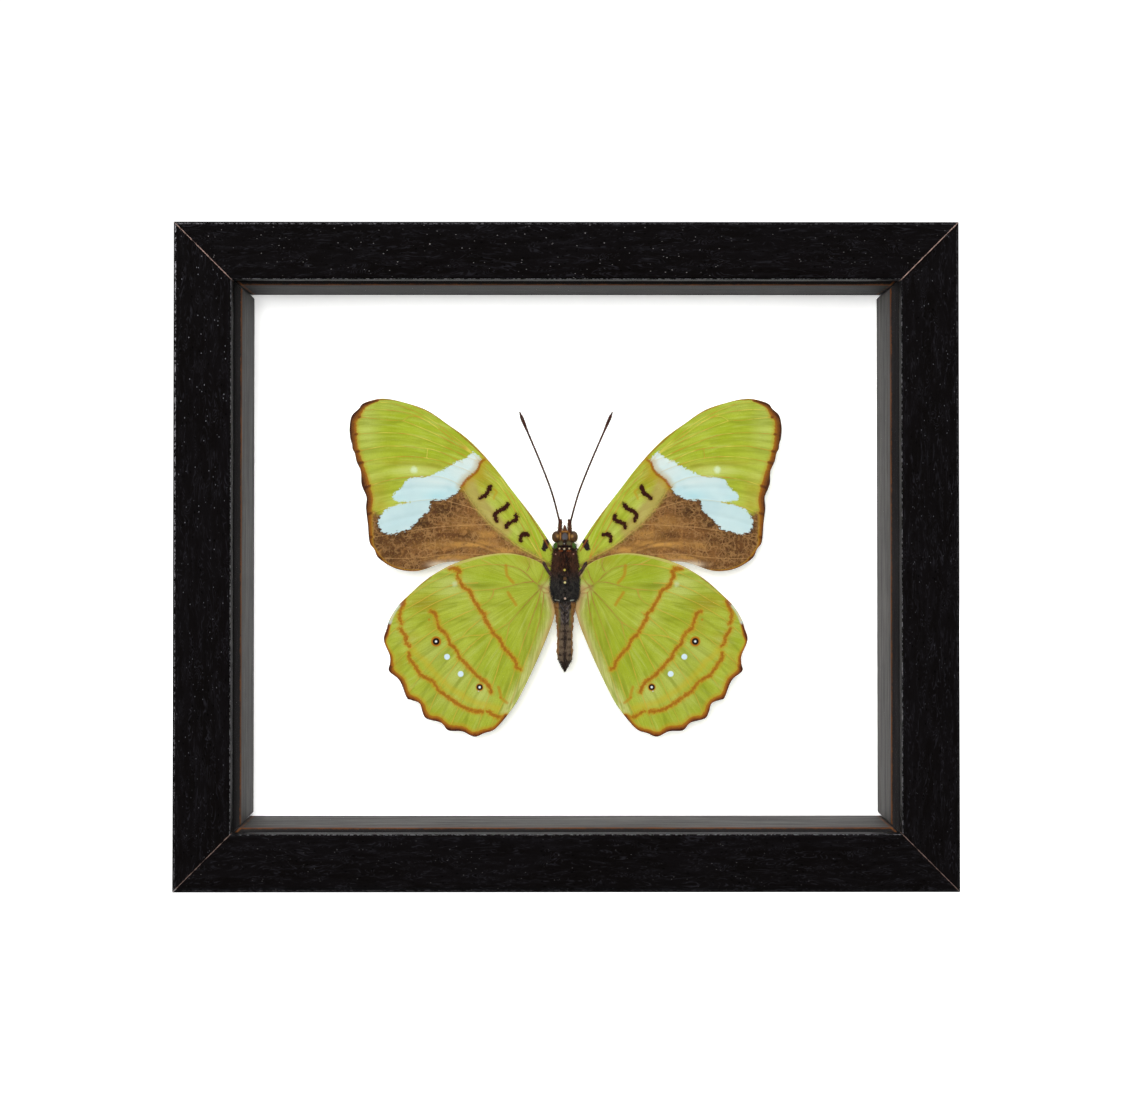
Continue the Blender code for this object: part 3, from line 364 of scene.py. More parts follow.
# The camera, fitted to the photo, in its columns and rows.
PHOTO_COLUMNS = 1128
PHOTO_MIDDLE_ROW = 560
AXIS_ROW = 485.2        # the row that the lens points at
FOCAL_COLUMNS = 2574.6  # focal length
SENSOR_WIDTH = 36.0     # millimetres


def tint(red, green, blue):
    """A colour given as it looks on screen, 0 to 255 each, in the renderer's own scale."""
    parts = []
    for value in (red, green, blue):
        share = value / 255.0
        parts.append(SET_LIGHT * (share / 12.92 if share <= 0.04045 else ((share + 0.055) / 1.055) ** 2.4))
    return (*parts, 1.0)


# ---- Lines and outlines ----


def smooth_line(points, steps=BEND_STEPS, closed=False):
    """A smooth curve through the points, as an array with one row for each point."""
    points = np.asarray(points, dtype=float)
    count = len(points)
    rows = []
    for index in range(count if closed else count - 1):
        if closed:
            before, here, after, beyond = (points[(index + step) % count] for step in (-1, 0, 1, 2))
        else:
            before, here, after, beyond = (points[min(max(index + step, 0), count - 1)]
                                           for step in (-1, 0, 1, 2))
        for step in range(steps):
            t = step / steps
            rows.append(0.5 * (2 * here + (after - before) * t
                               + (2 * before - 5 * here + 4 * after - beyond) * t ** 2
                               + (3 * here - before - 3 * after + beyond) * t ** 3))
    if not closed:
        rows.append(points[-1])
    return np.array(rows)


def nearest_on(spots, line, closed=False):
    """For each spot, its distance to the line, the nearest point there, and how far along that is."""
    starts = line if closed else line[:-1]
    ends = np.roll(line, -1, axis=0) if closed else line[1:]
    best = np.full(len(spots), 1e9)
    point = np.zeros_like(spots)
    place = np.zeros(len(spots))
    for index, (start, end) in enumerate(zip(starts, ends)):
        along = end - start
        share = np.clip(((spots - start) @ along) / max(along @ along, 1e-12), 0.0, 1.0)
        foot = start + share[:, None] * along
        gap = ((spots - foot) ** 2).sum(axis=1)
        closer = gap < best
        best[closer] = gap[closer]
        point[closer] = foot[closer]
        place[closer] = (index + share[closer]) / len(starts)
    return np.sqrt(best), point, place


def enclosed(spots, loop):
    """Which spots lie inside a closed outline."""
    crossings = np.zeros(len(spots), dtype=int)
    for start, end in zip(loop, np.roll(loop, -1, axis=0)):
        if start[1] == end[1]:
            continue
        spans = (start[1] > spots[:, 1]) != (end[1] > spots[:, 1])
        meet = start[0] + (spots[:, 1] - start[1]) * (end[0] - start[0]) / (end[1] - start[1])
        crossings += spans & (spots[:, 0] < meet)
    return crossings % 2 == 1


def depth_inside(spots, loop):
    """Distance to an outline, positive inside it and negative outside."""
    distance = nearest_on(spots, loop, closed=True)[0]
    return np.where(enclosed(spots, loop), distance, -distance)


def line_field(spots, lines, root_width, tip_width):
    """Distance to the nearest of several lines, less the line's own half width there."""
    field = np.full(len(spots), AFAR)
    for points in lines:
        distance, _, place = nearest_on(spots, smooth_line(points))
        field = np.minimum(field, distance - (root_width + (tip_width - root_width) * place))
    return field


def traced(table):
    """The lines of a table, with one (out, up) row for each point."""
    return {name: np.reshape(numbers, (-1, 2)) for name, numbers in table.items()}


def ripple(first, second, third, seed=0.0):
    """A gentle unevenness, from -1 to 1, that is the same on every run."""
    return (np.sin(first * 1.9 + second * 0.7 + seed) * np.cos(second * 1.3 - third * 1.1 + 2.1 * seed)
            + 0.5 * np.sin(second * 3.7 + first * 2.3 + third * 2.9 + 0.7 * seed)
            + 0.3 * np.cos(first * 5.9 - third * 4.7 + second * 5.1 - seed)) / 1.8


# ---- Meshes ----


def new_piece(name, points, faces, finish, node=None):
    """A finished piece from points in millimetres, that rides on the box and may replace a solid."""
    mesh = bpy.data.meshes.new(name)
    mesh.from_pydata((np.asarray(points, dtype=float) * MM).tolist(), [], faces)
    shape = bmesh.new()
    shape.from_mesh(mesh)
    bmesh.ops.recalc_face_normals(shape, faces=shape.faces)
    shape.to_mesh(mesh)
    shape.free()
    mesh.shade_smooth()
    return dress(name, mesh, finish, node)


def dress(name, mesh, finish, node=None):
    """Put a mesh in the scene with its finish, fix it to the root body, and hide the solid that it replaces.
    """
    piece = bpy.data.objects.new(name, mesh)
    bpy.context.scene.collection.objects.link(piece)
    mesh.materials.clear()
    mesh.materials.append(finish)
    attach(piece, "root")
    if node:
        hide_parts(node)
    return piece


def set_field(mesh, name, values):
    """Store one number for each point of a mesh."""
    stored = mesh.attributes.new(name, 'FLOAT', 'POINT')
    stored.data.foreach_set("value", np.asarray(values, dtype=np.float32))


def ring_faces(rings, sides, start=0):
    """Faces between rings of points that follow one another."""
    faces = []
    for ring in range(rings - 1):
        for side in range(sides):
            here = start + ring * sides
            across = (side + 1) % sides
            faces.append((here + side, here + across, here + sides + across, here + sides + side))
    return faces


def eased_corner(centre, radius, start, end, steps):
    """Points of a rounded corner, with its angles in degrees."""
    turns = [math.radians(start + (end - start) * step / steps) for step in range(steps + 1)]
    return [(centre[0] + radius * math.cos(turn), centre[1] + radius * math.sin(turn)) for turn in turns]


def mitred_strip(name, section, side, box, finish, node):
    """A strip with mitred ends. The section holds (distance in from the outer edge, depth) pairs."""
    length = 2 * (BOX_MIDDLE if side in ("left", "right") else BOX_HALF_WIDTH)
    section = np.array(section)
    count = len(section)
    points = []
    for station in range(STRIP_STEPS + 1):
        share = -1.0 + 2.0 * station / STRIP_STEPS
        run = share * (length / 2 - section[:, 0] - box.mitre_gap / MM)
        wave = box.unevenness / MM * ripple(run * 0.6, section[:, 0] * 2.0, section[:, 1] * 2.0, len(name))
        depth = section[:, 1] + np.abs(wave) * (section[:, 1] < LINER_FRONT + 1.0)
        for along, across, back in zip(run, section[:, 0], depth):
            points.append({
                "left": (-BOX_HALF_WIDTH + across, back, BOX_MIDDLE + along),
                "right": (BOX_HALF_WIDTH - across, back, BOX_MIDDLE + along),
                "bottom": (along, back, across),
                "top": (along, back, 2 * BOX_MIDDLE - across),
            }[side])
    faces = ring_faces(STRIP_STEPS + 1, count)
    faces += [tuple(range(count)), tuple(range(STRIP_STEPS * count, (STRIP_STEPS + 1) * count))]
    sharpen(new_piece(name, points, faces, finish, node).data, 40)


def sharpen(mesh, degrees):
    """Keep edges crisp where two faces meet at more than an angle."""
    mesh.set_sharp_from_angle(angle=math.radians(degrees))


def lathe(name, rings, sides, finish, node=None, rough=0.0, seed=0.0):
    """A closed body from (up, half width, half depth, level) rings, run from the top down."""
    turns = np.linspace(0.0, 2 * math.pi, sides, endpoint=False)
    points = []
    for up, wide, deep, level in rings[1:-1]:
        for turn in turns:
            x, y = math.cos(turn), math.sin(turn)
            swell = 1.0 + rough * ripple(np.float64(x * 2.5), np.float64(y * 2.5), np.float64(up * 2.0), seed)
            points.append((BODY_OUT + wide * x * swell, level + deep * y * swell, BOX_MIDDLE + up))
    faces = ring_faces(len(rings) - 2, sides)
    for end, first in ((rings[0], 0), (rings[-1], (len(rings) - 3) * sides)):
        points.append((BODY_OUT, end[3], BOX_MIDDLE + end[0]))
        tip = len(points) - 1
        faces += [(first + side, first + (side + 1) % sides, tip) for side in range(sides)]
    return new_piece(name, points, faces, finish, node)


def tube(name, line, radii, side, sides, finish, node=None):
    """A round limb on one side of the body, along a line and with radii spread evenly along it."""
    path = smooth_line(line, 6)
    girths = np.interp(np.linspace(0.0, 1.0, len(path)), np.linspace(0.0, 1.0, len(radii)), radii)
    spots = np.stack([BODY_OUT + side * path[:, 0], path[:, 2], BOX_MIDDLE + path[:, 1]], axis=1)
    heading = np.gradient(spots, axis=0)
    heading /= np.linalg.norm(heading, axis=1)[:, None]
    across = np.cross(heading, (0.0, 1.0, 0.0))
    across /= np.linalg.norm(across, axis=1)[:, None]
    rise = np.cross(across, heading)
    turns = np.linspace(0.0, 2 * math.pi, sides, endpoint=False)
    points = []
    for spot, girth, first, second in zip(spots, girths, across, rise):
        points += [tuple(spot + girth * (math.cos(turn) * first + math.sin(turn) * second)) for turn in turns]
    faces = ring_faces(len(spots), sides)
    for spot, start in ((spots[0] - heading[0] * girths[0] * 0.6, 0),
                        (spots[-1] + heading[-1] * girths[-1] * 0.8, (len(spots) - 1) * sides)):
        points.append(tuple(spot))
        faces += [(start + step, start + (step + 1) % sides, len(points) - 1) for step in range(sides)]
    return new_piece(name, points, faces, finish, node)


def ball(name, centre, radii, finish, node=None, detail=4):
    """A round form with three radii, in millimetres."""
    shape = bmesh.new()
    bmesh.ops.create_icosphere(shape, subdivisions=detail, radius=1.0)
    points = [[centre[axis] + radii[axis] * vertex.co[axis] for axis in range(3)] for vertex in shape.verts]
    faces = [tuple(corner.index for corner in face.verts) for face in shape.faces]
    shape.free()
    return new_piece(name, points, faces, finish, node)


# ---- Wings ----


def trimmed_grid(loop, cell):
    """Grid points and square cells that fill an outline, with the rim moved onto it."""
    low = loop.min(axis=0) - 1.5 * cell
    count = np.ceil((loop.max(axis=0) + 1.5 * cell - low) / cell).astype(int)
    column, row = np.meshgrid(np.arange(count[0]), np.arange(count[1]), indexing='ij')
    middles = low + (np.stack([column.ravel(), row.ravel()], axis=1) + 0.5) * cell
    keep = enclosed(middles, loop).reshape(count[0], count[1])
    for _ in range(3):
        a, b, c, d = keep[:-1, :-1], keep[1:, :-1], keep[:-1, 1:], keep[1:, 1:]
        first = a & d & ~b & ~c
        second = b & c & ~a & ~d
        keep[1:, :-1] |= first
        keep[:-1, :-1] |= second
    padded = np.pad(keep, 1)
    touching = (padded[:-1, :-1].astype(int) + padded[1:, :-1] + padded[:-1, 1:] + padded[1:, 1:])
    number = np.full(touching.shape, -1)
    used = touching > 0
    number[used] = np.arange(used.sum())
    places = np.argwhere(used)
    spots = low + places * cell
    i, j = np.nonzero(keep)
    cells = np.stack([number[i, j], number[i + 1, j], number[i + 1, j + 1], number[i, j + 1]], axis=1)
    rim = touching[used] < 4
    spots[rim] = nearest_on(spots[rim], loop, closed=True)[1]
    return spots, cells, rim


def draw_to_veins(spots, rim, veins, cell):
    """Move points that lie close to a vein onto it, so that the vein keeps one even crest."""
    for points in veins:
        distance, foot, _ = nearest_on(spots, smooth_line(points))
        close = (distance < 0.42 * cell) & ~rim
        spots[close] = foot[close]
    return spots


def split_cells(cells, field):
    """Cut every cell along the diagonal that follows the veins."""
    a, b, c, d = cells.T
    first = (field[a] + field[c] <= field[b] + field[d])[:, None]
    one = np.where(first, np.stack([a, b, c], axis=1), np.stack([a, b, d], axis=1))
    two = np.where(first, np.stack([a, c, d], axis=1), np.stack([b, c, d], axis=1))
    return np.concatenate([one, two])


def open_edges(triangles):
    """The edges that only one triangle uses, in that triangle's direction."""
    ways = np.concatenate([triangles[:, [0, 1]], triangles[:, [1, 2]], triangles[:, [2, 0]]])
    size = int(triangles.max()) + 1
    forward = ways[:, 0] * size + ways[:, 1]
    backward = ways[:, 1] * size + ways[:, 0]
    return ways[~np.isin(forward, backward)]


class WingShape:
    """The points, faces and measured fields of one left wing."""

    def __init__(self, outline, level, veins, folds, cell, vein_height, fold_depth):
        loop = smooth_line(outline, 6, closed=True)
        spots, cells, rim = trimmed_grid(loop, cell)
        veins, folds = traced(veins).values(), traced(folds).values()
        self.spots = draw_to_veins(spots, rim, veins, cell)
        vein = line_field(self.spots, veins, *VEIN_WIDTHS)
        fold = line_field(self.spots, folds, 0.0, 0.0)
        self.fields = {"vein": vein, "fold": fold}
        self.triangles = split_cells(cells, np.maximum(vein, -0.02))
        out, up = self.spots.T
        crest = np.exp(-(np.maximum(vein, 0.0) / VEIN_REACH) ** 2)
        valley = np.exp(-(fold / FOLD_REACH) ** 2)
        sag = 1.0 - np.exp(-(np.maximum(vein, 0.0) / SAG_REACH) ** 2)
        waves = 0.07 * ripple(out * 0.35, up * 0.35, 0.0 * out, 1.3)
        calm = np.clip(nearest_on(self.spots, loop, closed=True)[0] / RIM_REACH, 0.0, 1.0)
        relief = calm * (vein_height * crest - fold_depth * valley - 0.6 * fold_depth * sag) + waves
        middle = level - TIP_RISE * (out / WING_SPAN) ** 2
        skin = 0.05 + 0.05 * calm
        self.front = middle - skin - relief
        self.back = middle + skin - relief

    def lines(self, marks, groups):
        """Measure the distance to each group of lines."""
        for name, members, *widths in groups:
            self.fields[name] = line_field(self.spots, [marks[member] for member in members], widths[0],
                                           widths[-1])

    def area(self, name, outline):
        """Measure the distance into an area."""
        self.fields[name] = depth_inside(self.spots, smooth_line(outline, 3, closed=True))

    def border(self, name, outline, widths):
        """Measure the distance to a border's outer edge as a share of the border's width there."""
        distance, _, place = nearest_on(self.spots, smooth_line(outline))
        self.fields[name] = distance / np.interp(place, np.linspace(0.0, 1.0, len(widths)), widths)

    def dots(self, groups):
        """Measure the distance to the rims of each group of round spots."""
        for name, places in groups.items():
            field = np.full(len(self.spots), AFAR)
            for out, up, radius in places:
                away = np.hypot(self.spots[:, 0] - out, self.spots[:, 1] - up)
                field = np.minimum(field, away - radius)
            self.fields[name] = field

    def patches(self, groups):
        """Measure how strongly each group of soft patches covers each spot, from 0 to 1."""
        for name, places in groups.items():
            cover = np.zeros(len(self.spots))
            for out, up, wide, high, strength in places:
                away = ((self.spots[:, 0] - out) / wide) ** 2 + ((self.spots[:, 1] - up) / high) ** 2
                cover = np.maximum(cover, strength * np.exp(-away))
            self.fields[name] = cover

    def rays(self, root_out, root_up, bend=0.0):
        """Measure each spot's distance from the wing's root, and its direction along the bending veins."""
        out, up = self.spots[:, 0] - root_out, self.spots[:, 1] - root_up
        run = np.hypot(out, up)
        self.fields["ray"] = np.degrees(np.arctan2(up, out)) + bend * np.maximum(run - STRAIGHT_RUN, 0.0)
        self.fields["run"] = run

    def pieces(self, kind, finish):
        """Make the wing on both sides of the body."""
        for side, turn in SIDES:
            self.piece(kind + "_detail_" + side, turn, finish, kind + "_green", kind + "_" + side)

    def piece(self, name, side, finish, slot, node):
        """Make the wing as a closed shell on one side of the body."""
        x = WING_AXIS + side * self.spots[:, 0]
        z = BOX_MIDDLE + self.spots[:, 1]
        count = len(x)
        points = np.concatenate([np.stack([x, self.front, z], axis=1), np.stack([x, self.back, z], axis=1)])
        rim = open_edges(self.triangles)
        faces = self.triangles.tolist()
        faces += (self.triangles[:, ::-1] + count).tolist()
        faces += [(b, a, a + count, b + count) for a, b in rim.tolist()]
        made = new_piece(name, points, faces, finish, node)
        for field, values in self.fields.items():
            set_field(made.data, field, np.concatenate([values, values]))


# ---- Finishes ----


class Wire:
    """A socket of a shader that can stand in a sum with numbers and other sockets."""

    def __init__(self, tree, socket):
        self.tree = tree
        self.socket = socket

    def sum(self, operation, *values):
        node = self.tree.nodes.new("ShaderNodeMath")
        node.operation = operation
        for slot, value in zip(node.inputs, values):
            feed(self.tree, slot, value)
        return Wire(self.tree, node.outputs[0])

    def __add__(self, other):
        return self.sum('ADD', self, other)

    def __radd__(self, other):
        return self.sum('ADD', other, self)

    def __sub__(self, other):
        return self.sum('SUBTRACT', self, other)

    def __rsub__(self, other):
        return self.sum('SUBTRACT', other, self)

    def __mul__(self, other):
        return self.sum('MULTIPLY', self, other)

    def least(self, other):
        return self.sum('MINIMUM', self, other)

    def most(self, other):
        return self.sum('MAXIMUM', self, other)

    def size(self):
        return self.sum('ABSOLUTE', self)

    def zigzag(self):
        """Runs between 0 at whole numbers and 0.5 halfway between them."""
        return self.sum('PINGPONG', self, 0.5)


def feed(tree, slot, value):
    """Give a socket a link or a value."""
    if isinstance(value, Wire):
        value = value.socket
    if isinstance(value, bpy.types.NodeSocket):
        tree.links.new(value, slot)
    else:
        slot.default_value = value


def add_node(tree, kind, settings=None, values=None):
    """Any node: its type, its settings, then the values or links of its sockets."""
    made = tree.nodes.new(kind)
    for key, value in (settings or {}).items():
        setattr(made, key, value)
    for key, value in (values or {}).items():
        feed(tree, made.inputs[key], value)
    return made


class Finish:
    """A material under construction, with shorthands for the nodes that its patterns need."""

    def __init__(self, name, **constants):
        self.material = bpy.data.materials.new(name)
        self.material.use_nodes = True
        self.tree = self.material.node_tree
        self.tree.nodes.clear()
        self.output = self.tree.nodes.new("ShaderNodeOutputMaterial")
        self.shader = self.tree.nodes.new("ShaderNodeBsdfPrincipled")
        self.tree.links.new(self.shader.outputs[0], self.output.inputs["Surface"])
        for socket, value in constants.items():
            self.shader.inputs[socket.replace("_", " ")].default_value = value

    def node(self, kind, settings=None, values=None, output=0):
        """A node's output, ready for sums."""
        return Wire(self.tree, add_node(self.tree, kind, settings, values).outputs[output])

    def place(self):
        """The point on the object, in millimetres."""
        spot = self.node("ShaderNodeTexCoord", output="Object")
        return self.node("ShaderNodeVectorMath", {"operation": 'SCALE'}, {"Vector": spot, "Scale": 1000.0})

    def stretched(self, vector, factors, shift=(0.0, 0.0, 0.0)):
        """A vector times three factors, then moved."""
        return self.node("ShaderNodeVectorMath", {"operation": 'MULTIPLY_ADD'},
                         {0: vector, 1: factors, 2: shift})

    def parts(self, vector):
        """The three numbers of a vector."""
        split = self.node("ShaderNodeSeparateXYZ", values={0: vector}).socket.node
        return [Wire(self.tree, split.outputs[index]) for index in range(3)]

    def joined(self, x, y, z):
        """A vector from three numbers."""
        return self.node("ShaderNodeCombineXYZ", values={0: x, 1: y, 2: z})

    def field(self, name):
        """A number stored on the mesh."""
        return self.node("ShaderNodeAttribute", {"attribute_name": name}, output="Fac")

    def noise(self, vector, scale, detail=2.0, roughness=0.5, distortion=0.0):
        """Soft noise from 0 to 1, with so many swells to the unit of the vector."""
        return self.node("ShaderNodeTexNoise", {"noise_dimensions": '3D'},
                         {"Vector": vector, "Scale": scale, "Detail": detail, "Roughness": roughness,
                          "Distortion": distortion})

    def cells(self, vector, scale, feature='F1', jitter=1.0):
        """Distances in a pattern of scattered cells."""
        return self.node("ShaderNodeTexVoronoi", {"feature": feature},
                         {"Vector": vector, "Scale": scale, "Randomness": jitter}, output="Distance")

    def ramp(self, value, low, high, first=0.0, last=1.0):
        """A smooth step between two values, from one number to another."""
        return self.node("ShaderNodeMapRange", {"interpolation_type": 'SMOOTHSTEP'},
                         {"Value": value, "From Min": low, "From Max": high, "To Min": first, "To Max": last})

    def mix(self, factor, first, second, way='MIX'):
        """Two colours mixed."""
        return self.node("ShaderNodeMix", {"data_type": 'RGBA', "blend_type": way},
                         {0: factor, 6: first, 7: second}, output=2)

    def layers(self, base, *stack):
        """Lay shades over a colour: (value, low, high, strength, colour) or (mask, strength, colour).

        A value or mask may be the name of a number stored on the mesh.
        """
        for value, *span, strength, colour in stack:
            if isinstance(value, str):
                value = self.field(value)
            if isinstance(colour, tuple) and len(colour) == 3:
                colour = tint(*colour)
            mask = self.ramp(value, *span, 0.0, strength) if span else value * strength
            base = self.mix(mask, base, colour)
        return base

    def far(self, vector, point, factors=(1.0, 1.0, 1.0)):
        """Distance of a vector from a point, after weighing its three directions."""
        gap = self.node("ShaderNodeVectorMath", {"operation": 'SUBTRACT'}, {0: vector, 1: point})
        gap = self.node("ShaderNodeVectorMath", {"operation": 'MULTIPLY'}, {0: gap, 1: factors})
        return self.node("ShaderNodeVectorMath", {"operation": 'LENGTH'}, {0: gap}, output="Value")

    def bump(self, height, distance, strength=1.0, under=None):
        """A relief in the finish, its distance in millimetres."""
        values = {"Height": height, "Distance": distance * MM, "Strength": strength}
        if under is not None:
            values["Normal"] = under
        return self.node("ShaderNodeBump", values=values)

    def set(self, **links):
        """Link the finished patterns to the shader."""
        for socket, value in links.items():
            feed(self.tree, self.shader.inputs[socket.replace("_", " ")], value)
        return self.material


def wood_finish(name, along, colour, fleck_and_sheen_colour, wear_colour):
    """Open-pored black stained wood with grain along one axis, and rubbed arrises with painted highlights;
    its flecks carry a painted sheen that fades toward the bottom and the right.
    """
    finish = Finish(name, Specular_IOR_Level=0.03)
    place = finish.place()
    grain_place = finish.stretched(place, (0.2, 1.0, 1.0) if along == 'X' else (1.0, 1.0, 0.2))
    figure = finish.noise(grain_place, 0.5, 3.0, 0.5, 0.9)
    growth = finish.ramp((figure * 18.0).zigzag(), 0.2, 0.03)
    growth = growth * finish.ramp(finish.noise(grain_place, 1.3, 2.0), 0.42, 0.62)
    fine = finish.noise(grain_place, 4.0, 3.0, 0.7)
    pore_place = finish.stretched(place, (0.6, 1.0, 1.0) if along == 'X' else (1.0, 1.0, 0.6))
    pores = finish.ramp(finish.cells(pore_place, 1.5), 0.24, 0.12)
    pores = pores * finish.ramp(finish.noise(grain_place, 1.7, 2.0), 0.42, 0.58)
    fleck_place = finish.stretched(pore_place, (1.0, 1.0, 1.0), (7.0, 3.0, 5.0))
    fleck_and_sheen = finish.ramp(finish.cells(fleck_place, 1.5), 0.14, 0.06)
    fleck_and_sheen = fleck_and_sheen * finish.ramp(finish.noise(place, 0.7, 3.0, 0.65), 0.42, 0.58)
    x, y, z = finish.parts(place)
    # Painted light from the upper left: flecks, mitres and arris highlights fade toward the bottom, and
    # flecks and arris highlights also toward the right.
    high = finish.ramp(z, 0.0, 2.0 * BOX_MIDDLE, 0.3, 1.0)
    fleck_and_sheen = fleck_and_sheen * high * finish.ramp(x, 60.0, 0.0, 0.5, 1.0)
    side_gap = BOX_HALF_WIDTH - x.size()
    end_gap = BOX_MIDDLE - (z - BOX_MIDDLE).size()
    diagonal = ((side_gap - end_gap) * (1 / math.sqrt(2))).size()
    ragged = finish.noise(place, 2.2, 3.0)
    mitre = finish.ramp(diagonal - (ragged - 0.5) * 0.10, 0.09, 0.03)
    mitre = mitre * finish.ramp(finish.noise(place, 0.55, 2.0), 0.34, 0.5, 0.1, 1.0)
    mitre = mitre * (high + 0.15)
    inward = side_gap.least(end_gap)
    rub = finish.noise(place, 1.6, 5.0, 0.8)
    front = finish.ramp(y, BOX_FRONT + 0.75, BOX_FRONT + 0.3)
    # Painted highlight along the outer arris, strongest on the left and on the upright rails.
    outer_arris = finish.ramp((inward - 0.36).size(), 0.18, 0.06) * front
    outer_arris = outer_arris * finish.ramp(x, 30.0, -60.0, 0.15, 1.0 if along == 'Z' else 0.4) * high
    inner_arris = finish.ramp((inward - (FACE_WIDTH - 0.08)).size(), 0.10, 0.03) * front
    # Real wear and painted highlight together: the arris highlights, broken into rubbed dots.
    wear_and_highlight = outer_arris.most(inner_arris * 0.5) * finish.ramp(rub, 0.48, 0.58)
    base = finish.mix(finish.ramp(figure, 0.35, 0.65), colour, tint(12, 10, 11))
    base = finish.layers(base,
        (fine, 0.5, 0.75, 0.4, (20, 18, 19)),
        (growth, 0.45, (44, 43, 48)),
        (pores, 0.85, (2, 2, 2)),
        (fleck_and_sheen, 0.6, fleck_and_sheen_colour),
        (mitre, 0.75, wear_colour),
        (wear_and_highlight, 0.8, (172, 170, 176)))
    rough = 0.36 + fine * 0.18 + pores * 0.3 + wear_and_highlight * 0.2
    relief = finish.bump(fine, 0.05, 0.8)
    return finish.set(Base_Color=base, Roughness=rough, Normal=relief)


def liner_finish(name, along, shade):
    """Thin stained strips, streaky and slightly glossy, with a rubbed orange arris, darkened by a painted
    shade that differs from side to side.
    """
    finish = Finish(name, Specular_IOR_Level=0.08)
    place = finish.place()
    squeeze = (0.05, 1.0, 1.0) if along == 'X' else (1.0, 1.0, 0.05)
    streak_place = finish.stretched(place, squeeze)
    streak = finish.noise(streak_place, 0.9, 5.0, 0.7, 0.3)
    hair_line = finish.noise(streak_place, 4.5, 3.0, 0.7)
    x, y, z = finish.parts(place)
    front = finish.ramp(y, LINER_FRONT + 0.9, LINER_FRONT + 0.25)
    inward_side = LINER_SIDE_SIGHT - x.size()
    inward_end = LINER_END_SIGHT - (z - BOX_MIDDLE).size()
    inward = inward_side.least(inward_end).size()
    rubbed = finish.ramp(inward - finish.noise(place, 1.6, 3.0, 0.7) * 0.3, 0.1, -0.02) * front
    diagonal = ((inward_side - inward_end) * (1 / math.sqrt(2))).size()
    mitre = finish.ramp(diagonal, 0.22, 0.06) * finish.ramp(finish.noise(place, 0.8, 2.0), 0.35, 0.6)
    base = finish.mix(finish.ramp(streak, 0.3, 0.72), tint(46, 43, 42), tint(112, 108, 106))
    # Painted shade: the strip's stain is darkened towards near black by its side's share.
    base = finish.layers(base, (hair_line, 0.5, 0.75, 0.6, (30, 26, 25)), (shade, 1.0, (10, 8, 7)))
    face = finish.ramp(y, LINER_FRONT + 0.35, LINER_FRONT + 0.05)
    base = finish.layers(base, (face, 0.9, (28, 26, 27)))
    rubbed = rubbed * finish.ramp(hair_line, 0.42, 0.56, 0.35, 1.0)
    base = finish.layers(base, (rubbed, 0.75, (122, 74, 38)), (mitre, 0.6, (140, 84, 40)))
    rough = 0.5 + hair_line * 0.3
    return finish.set(Base_Color=base, Roughness=rough,
                      Normal=finish.bump(streak * 0.6 + hair_line * 0.4, 0.06, 0.6))


def board_finish(name):
    """Smooth white mount board with a faint felt and a few specks, and a painted glow that lightens the shade
    on it.
    """
    finish = Finish(name, Specular_IOR_Level=0.2)
    place = finish.place()
    felt = finish.noise(place, 3.0, 2.0, 0.7)
    cloud = finish.noise(place, 0.06, 1.0)
    speck = finish.ramp(finish.cells(place, 0.32), 0.05, 0.02)
    base = finish.mix(cloud * 0.35, (0.965, 0.965, 0.96, 1.0), (0.94, 0.94, 0.93, 1.0))
    base = finish.layers(base, (felt, 0.05, (0.78, 0.77, 0.75, 1.0)), (speck, 0.2, (190, 184, 170)))
    # Painted glow: the board gives off light in its own colour, though no lamp lies behind it.
    finish.shader.inputs["Emission Strength"].default_value = BOARD_PAINTED_GLOW
    return finish.set(Base_Color=base, Emission_Color=base, Roughness=0.78 + felt * 0.15)


def panel_finish(name):
    """Brown pressed fibre board, mottled and slightly shiny on its pressed face."""
    finish = Finish(name, Specular_IOR_Level=0.3)
    place = finish.place()
    fibre = finish.noise(finish.stretched(place, (1.0, 1.0, 0.35)), 2.2, 6.0, 0.75, 0.6)
    mottle = finish.noise(place, 0.18, 4.0, 0.6)
    chip = finish.ramp(finish.cells(finish.stretched(place, (1.0, 1.0, 0.4)), 1.4), 0.16, 0.05)
    base = finish.mix(finish.ramp(fibre, 0.3, 0.7), tint(92, 62, 38), tint(138, 98, 62))
    base = finish.layers(base, (mottle, 0.4, 0.7, 0.5, (112, 82, 56)), (chip, 0.5, (168, 130, 90)))
    return finish.set(Base_Color=base, Roughness=0.5 + fibre * 0.3, Normal=finish.bump(fibre, 0.08, 0.6))


def metal_finish(name, colour, tarnish, roughness):
    """Plated sheet steel with drawn lines, smudges and dull spots."""
    finish = Finish(name, Metallic=1.0)
    place = finish.place()
    drawn = finish.noise(finish.stretched(place, (0.25, 3.0, 3.0)), 2.5, 4.0, 0.7)
    smudge = finish.noise(place, 0.5, 4.0, 0.65)
    spot = finish.ramp(finish.noise(place, 2.4, 5.0, 0.7), 0.58, 0.72)
    base = finish.mix(finish.ramp(smudge, 0.35, 0.75), colour, tarnish)
    base = finish.layers(base, (spot, 0.4, (92, 78, 62)))
    rough = roughness + drawn * 0.14 + spot * 0.25
    return finish.set(Base_Color=base, Roughness=rough, Normal=finish.bump(drawn, 0.02, 0.4))


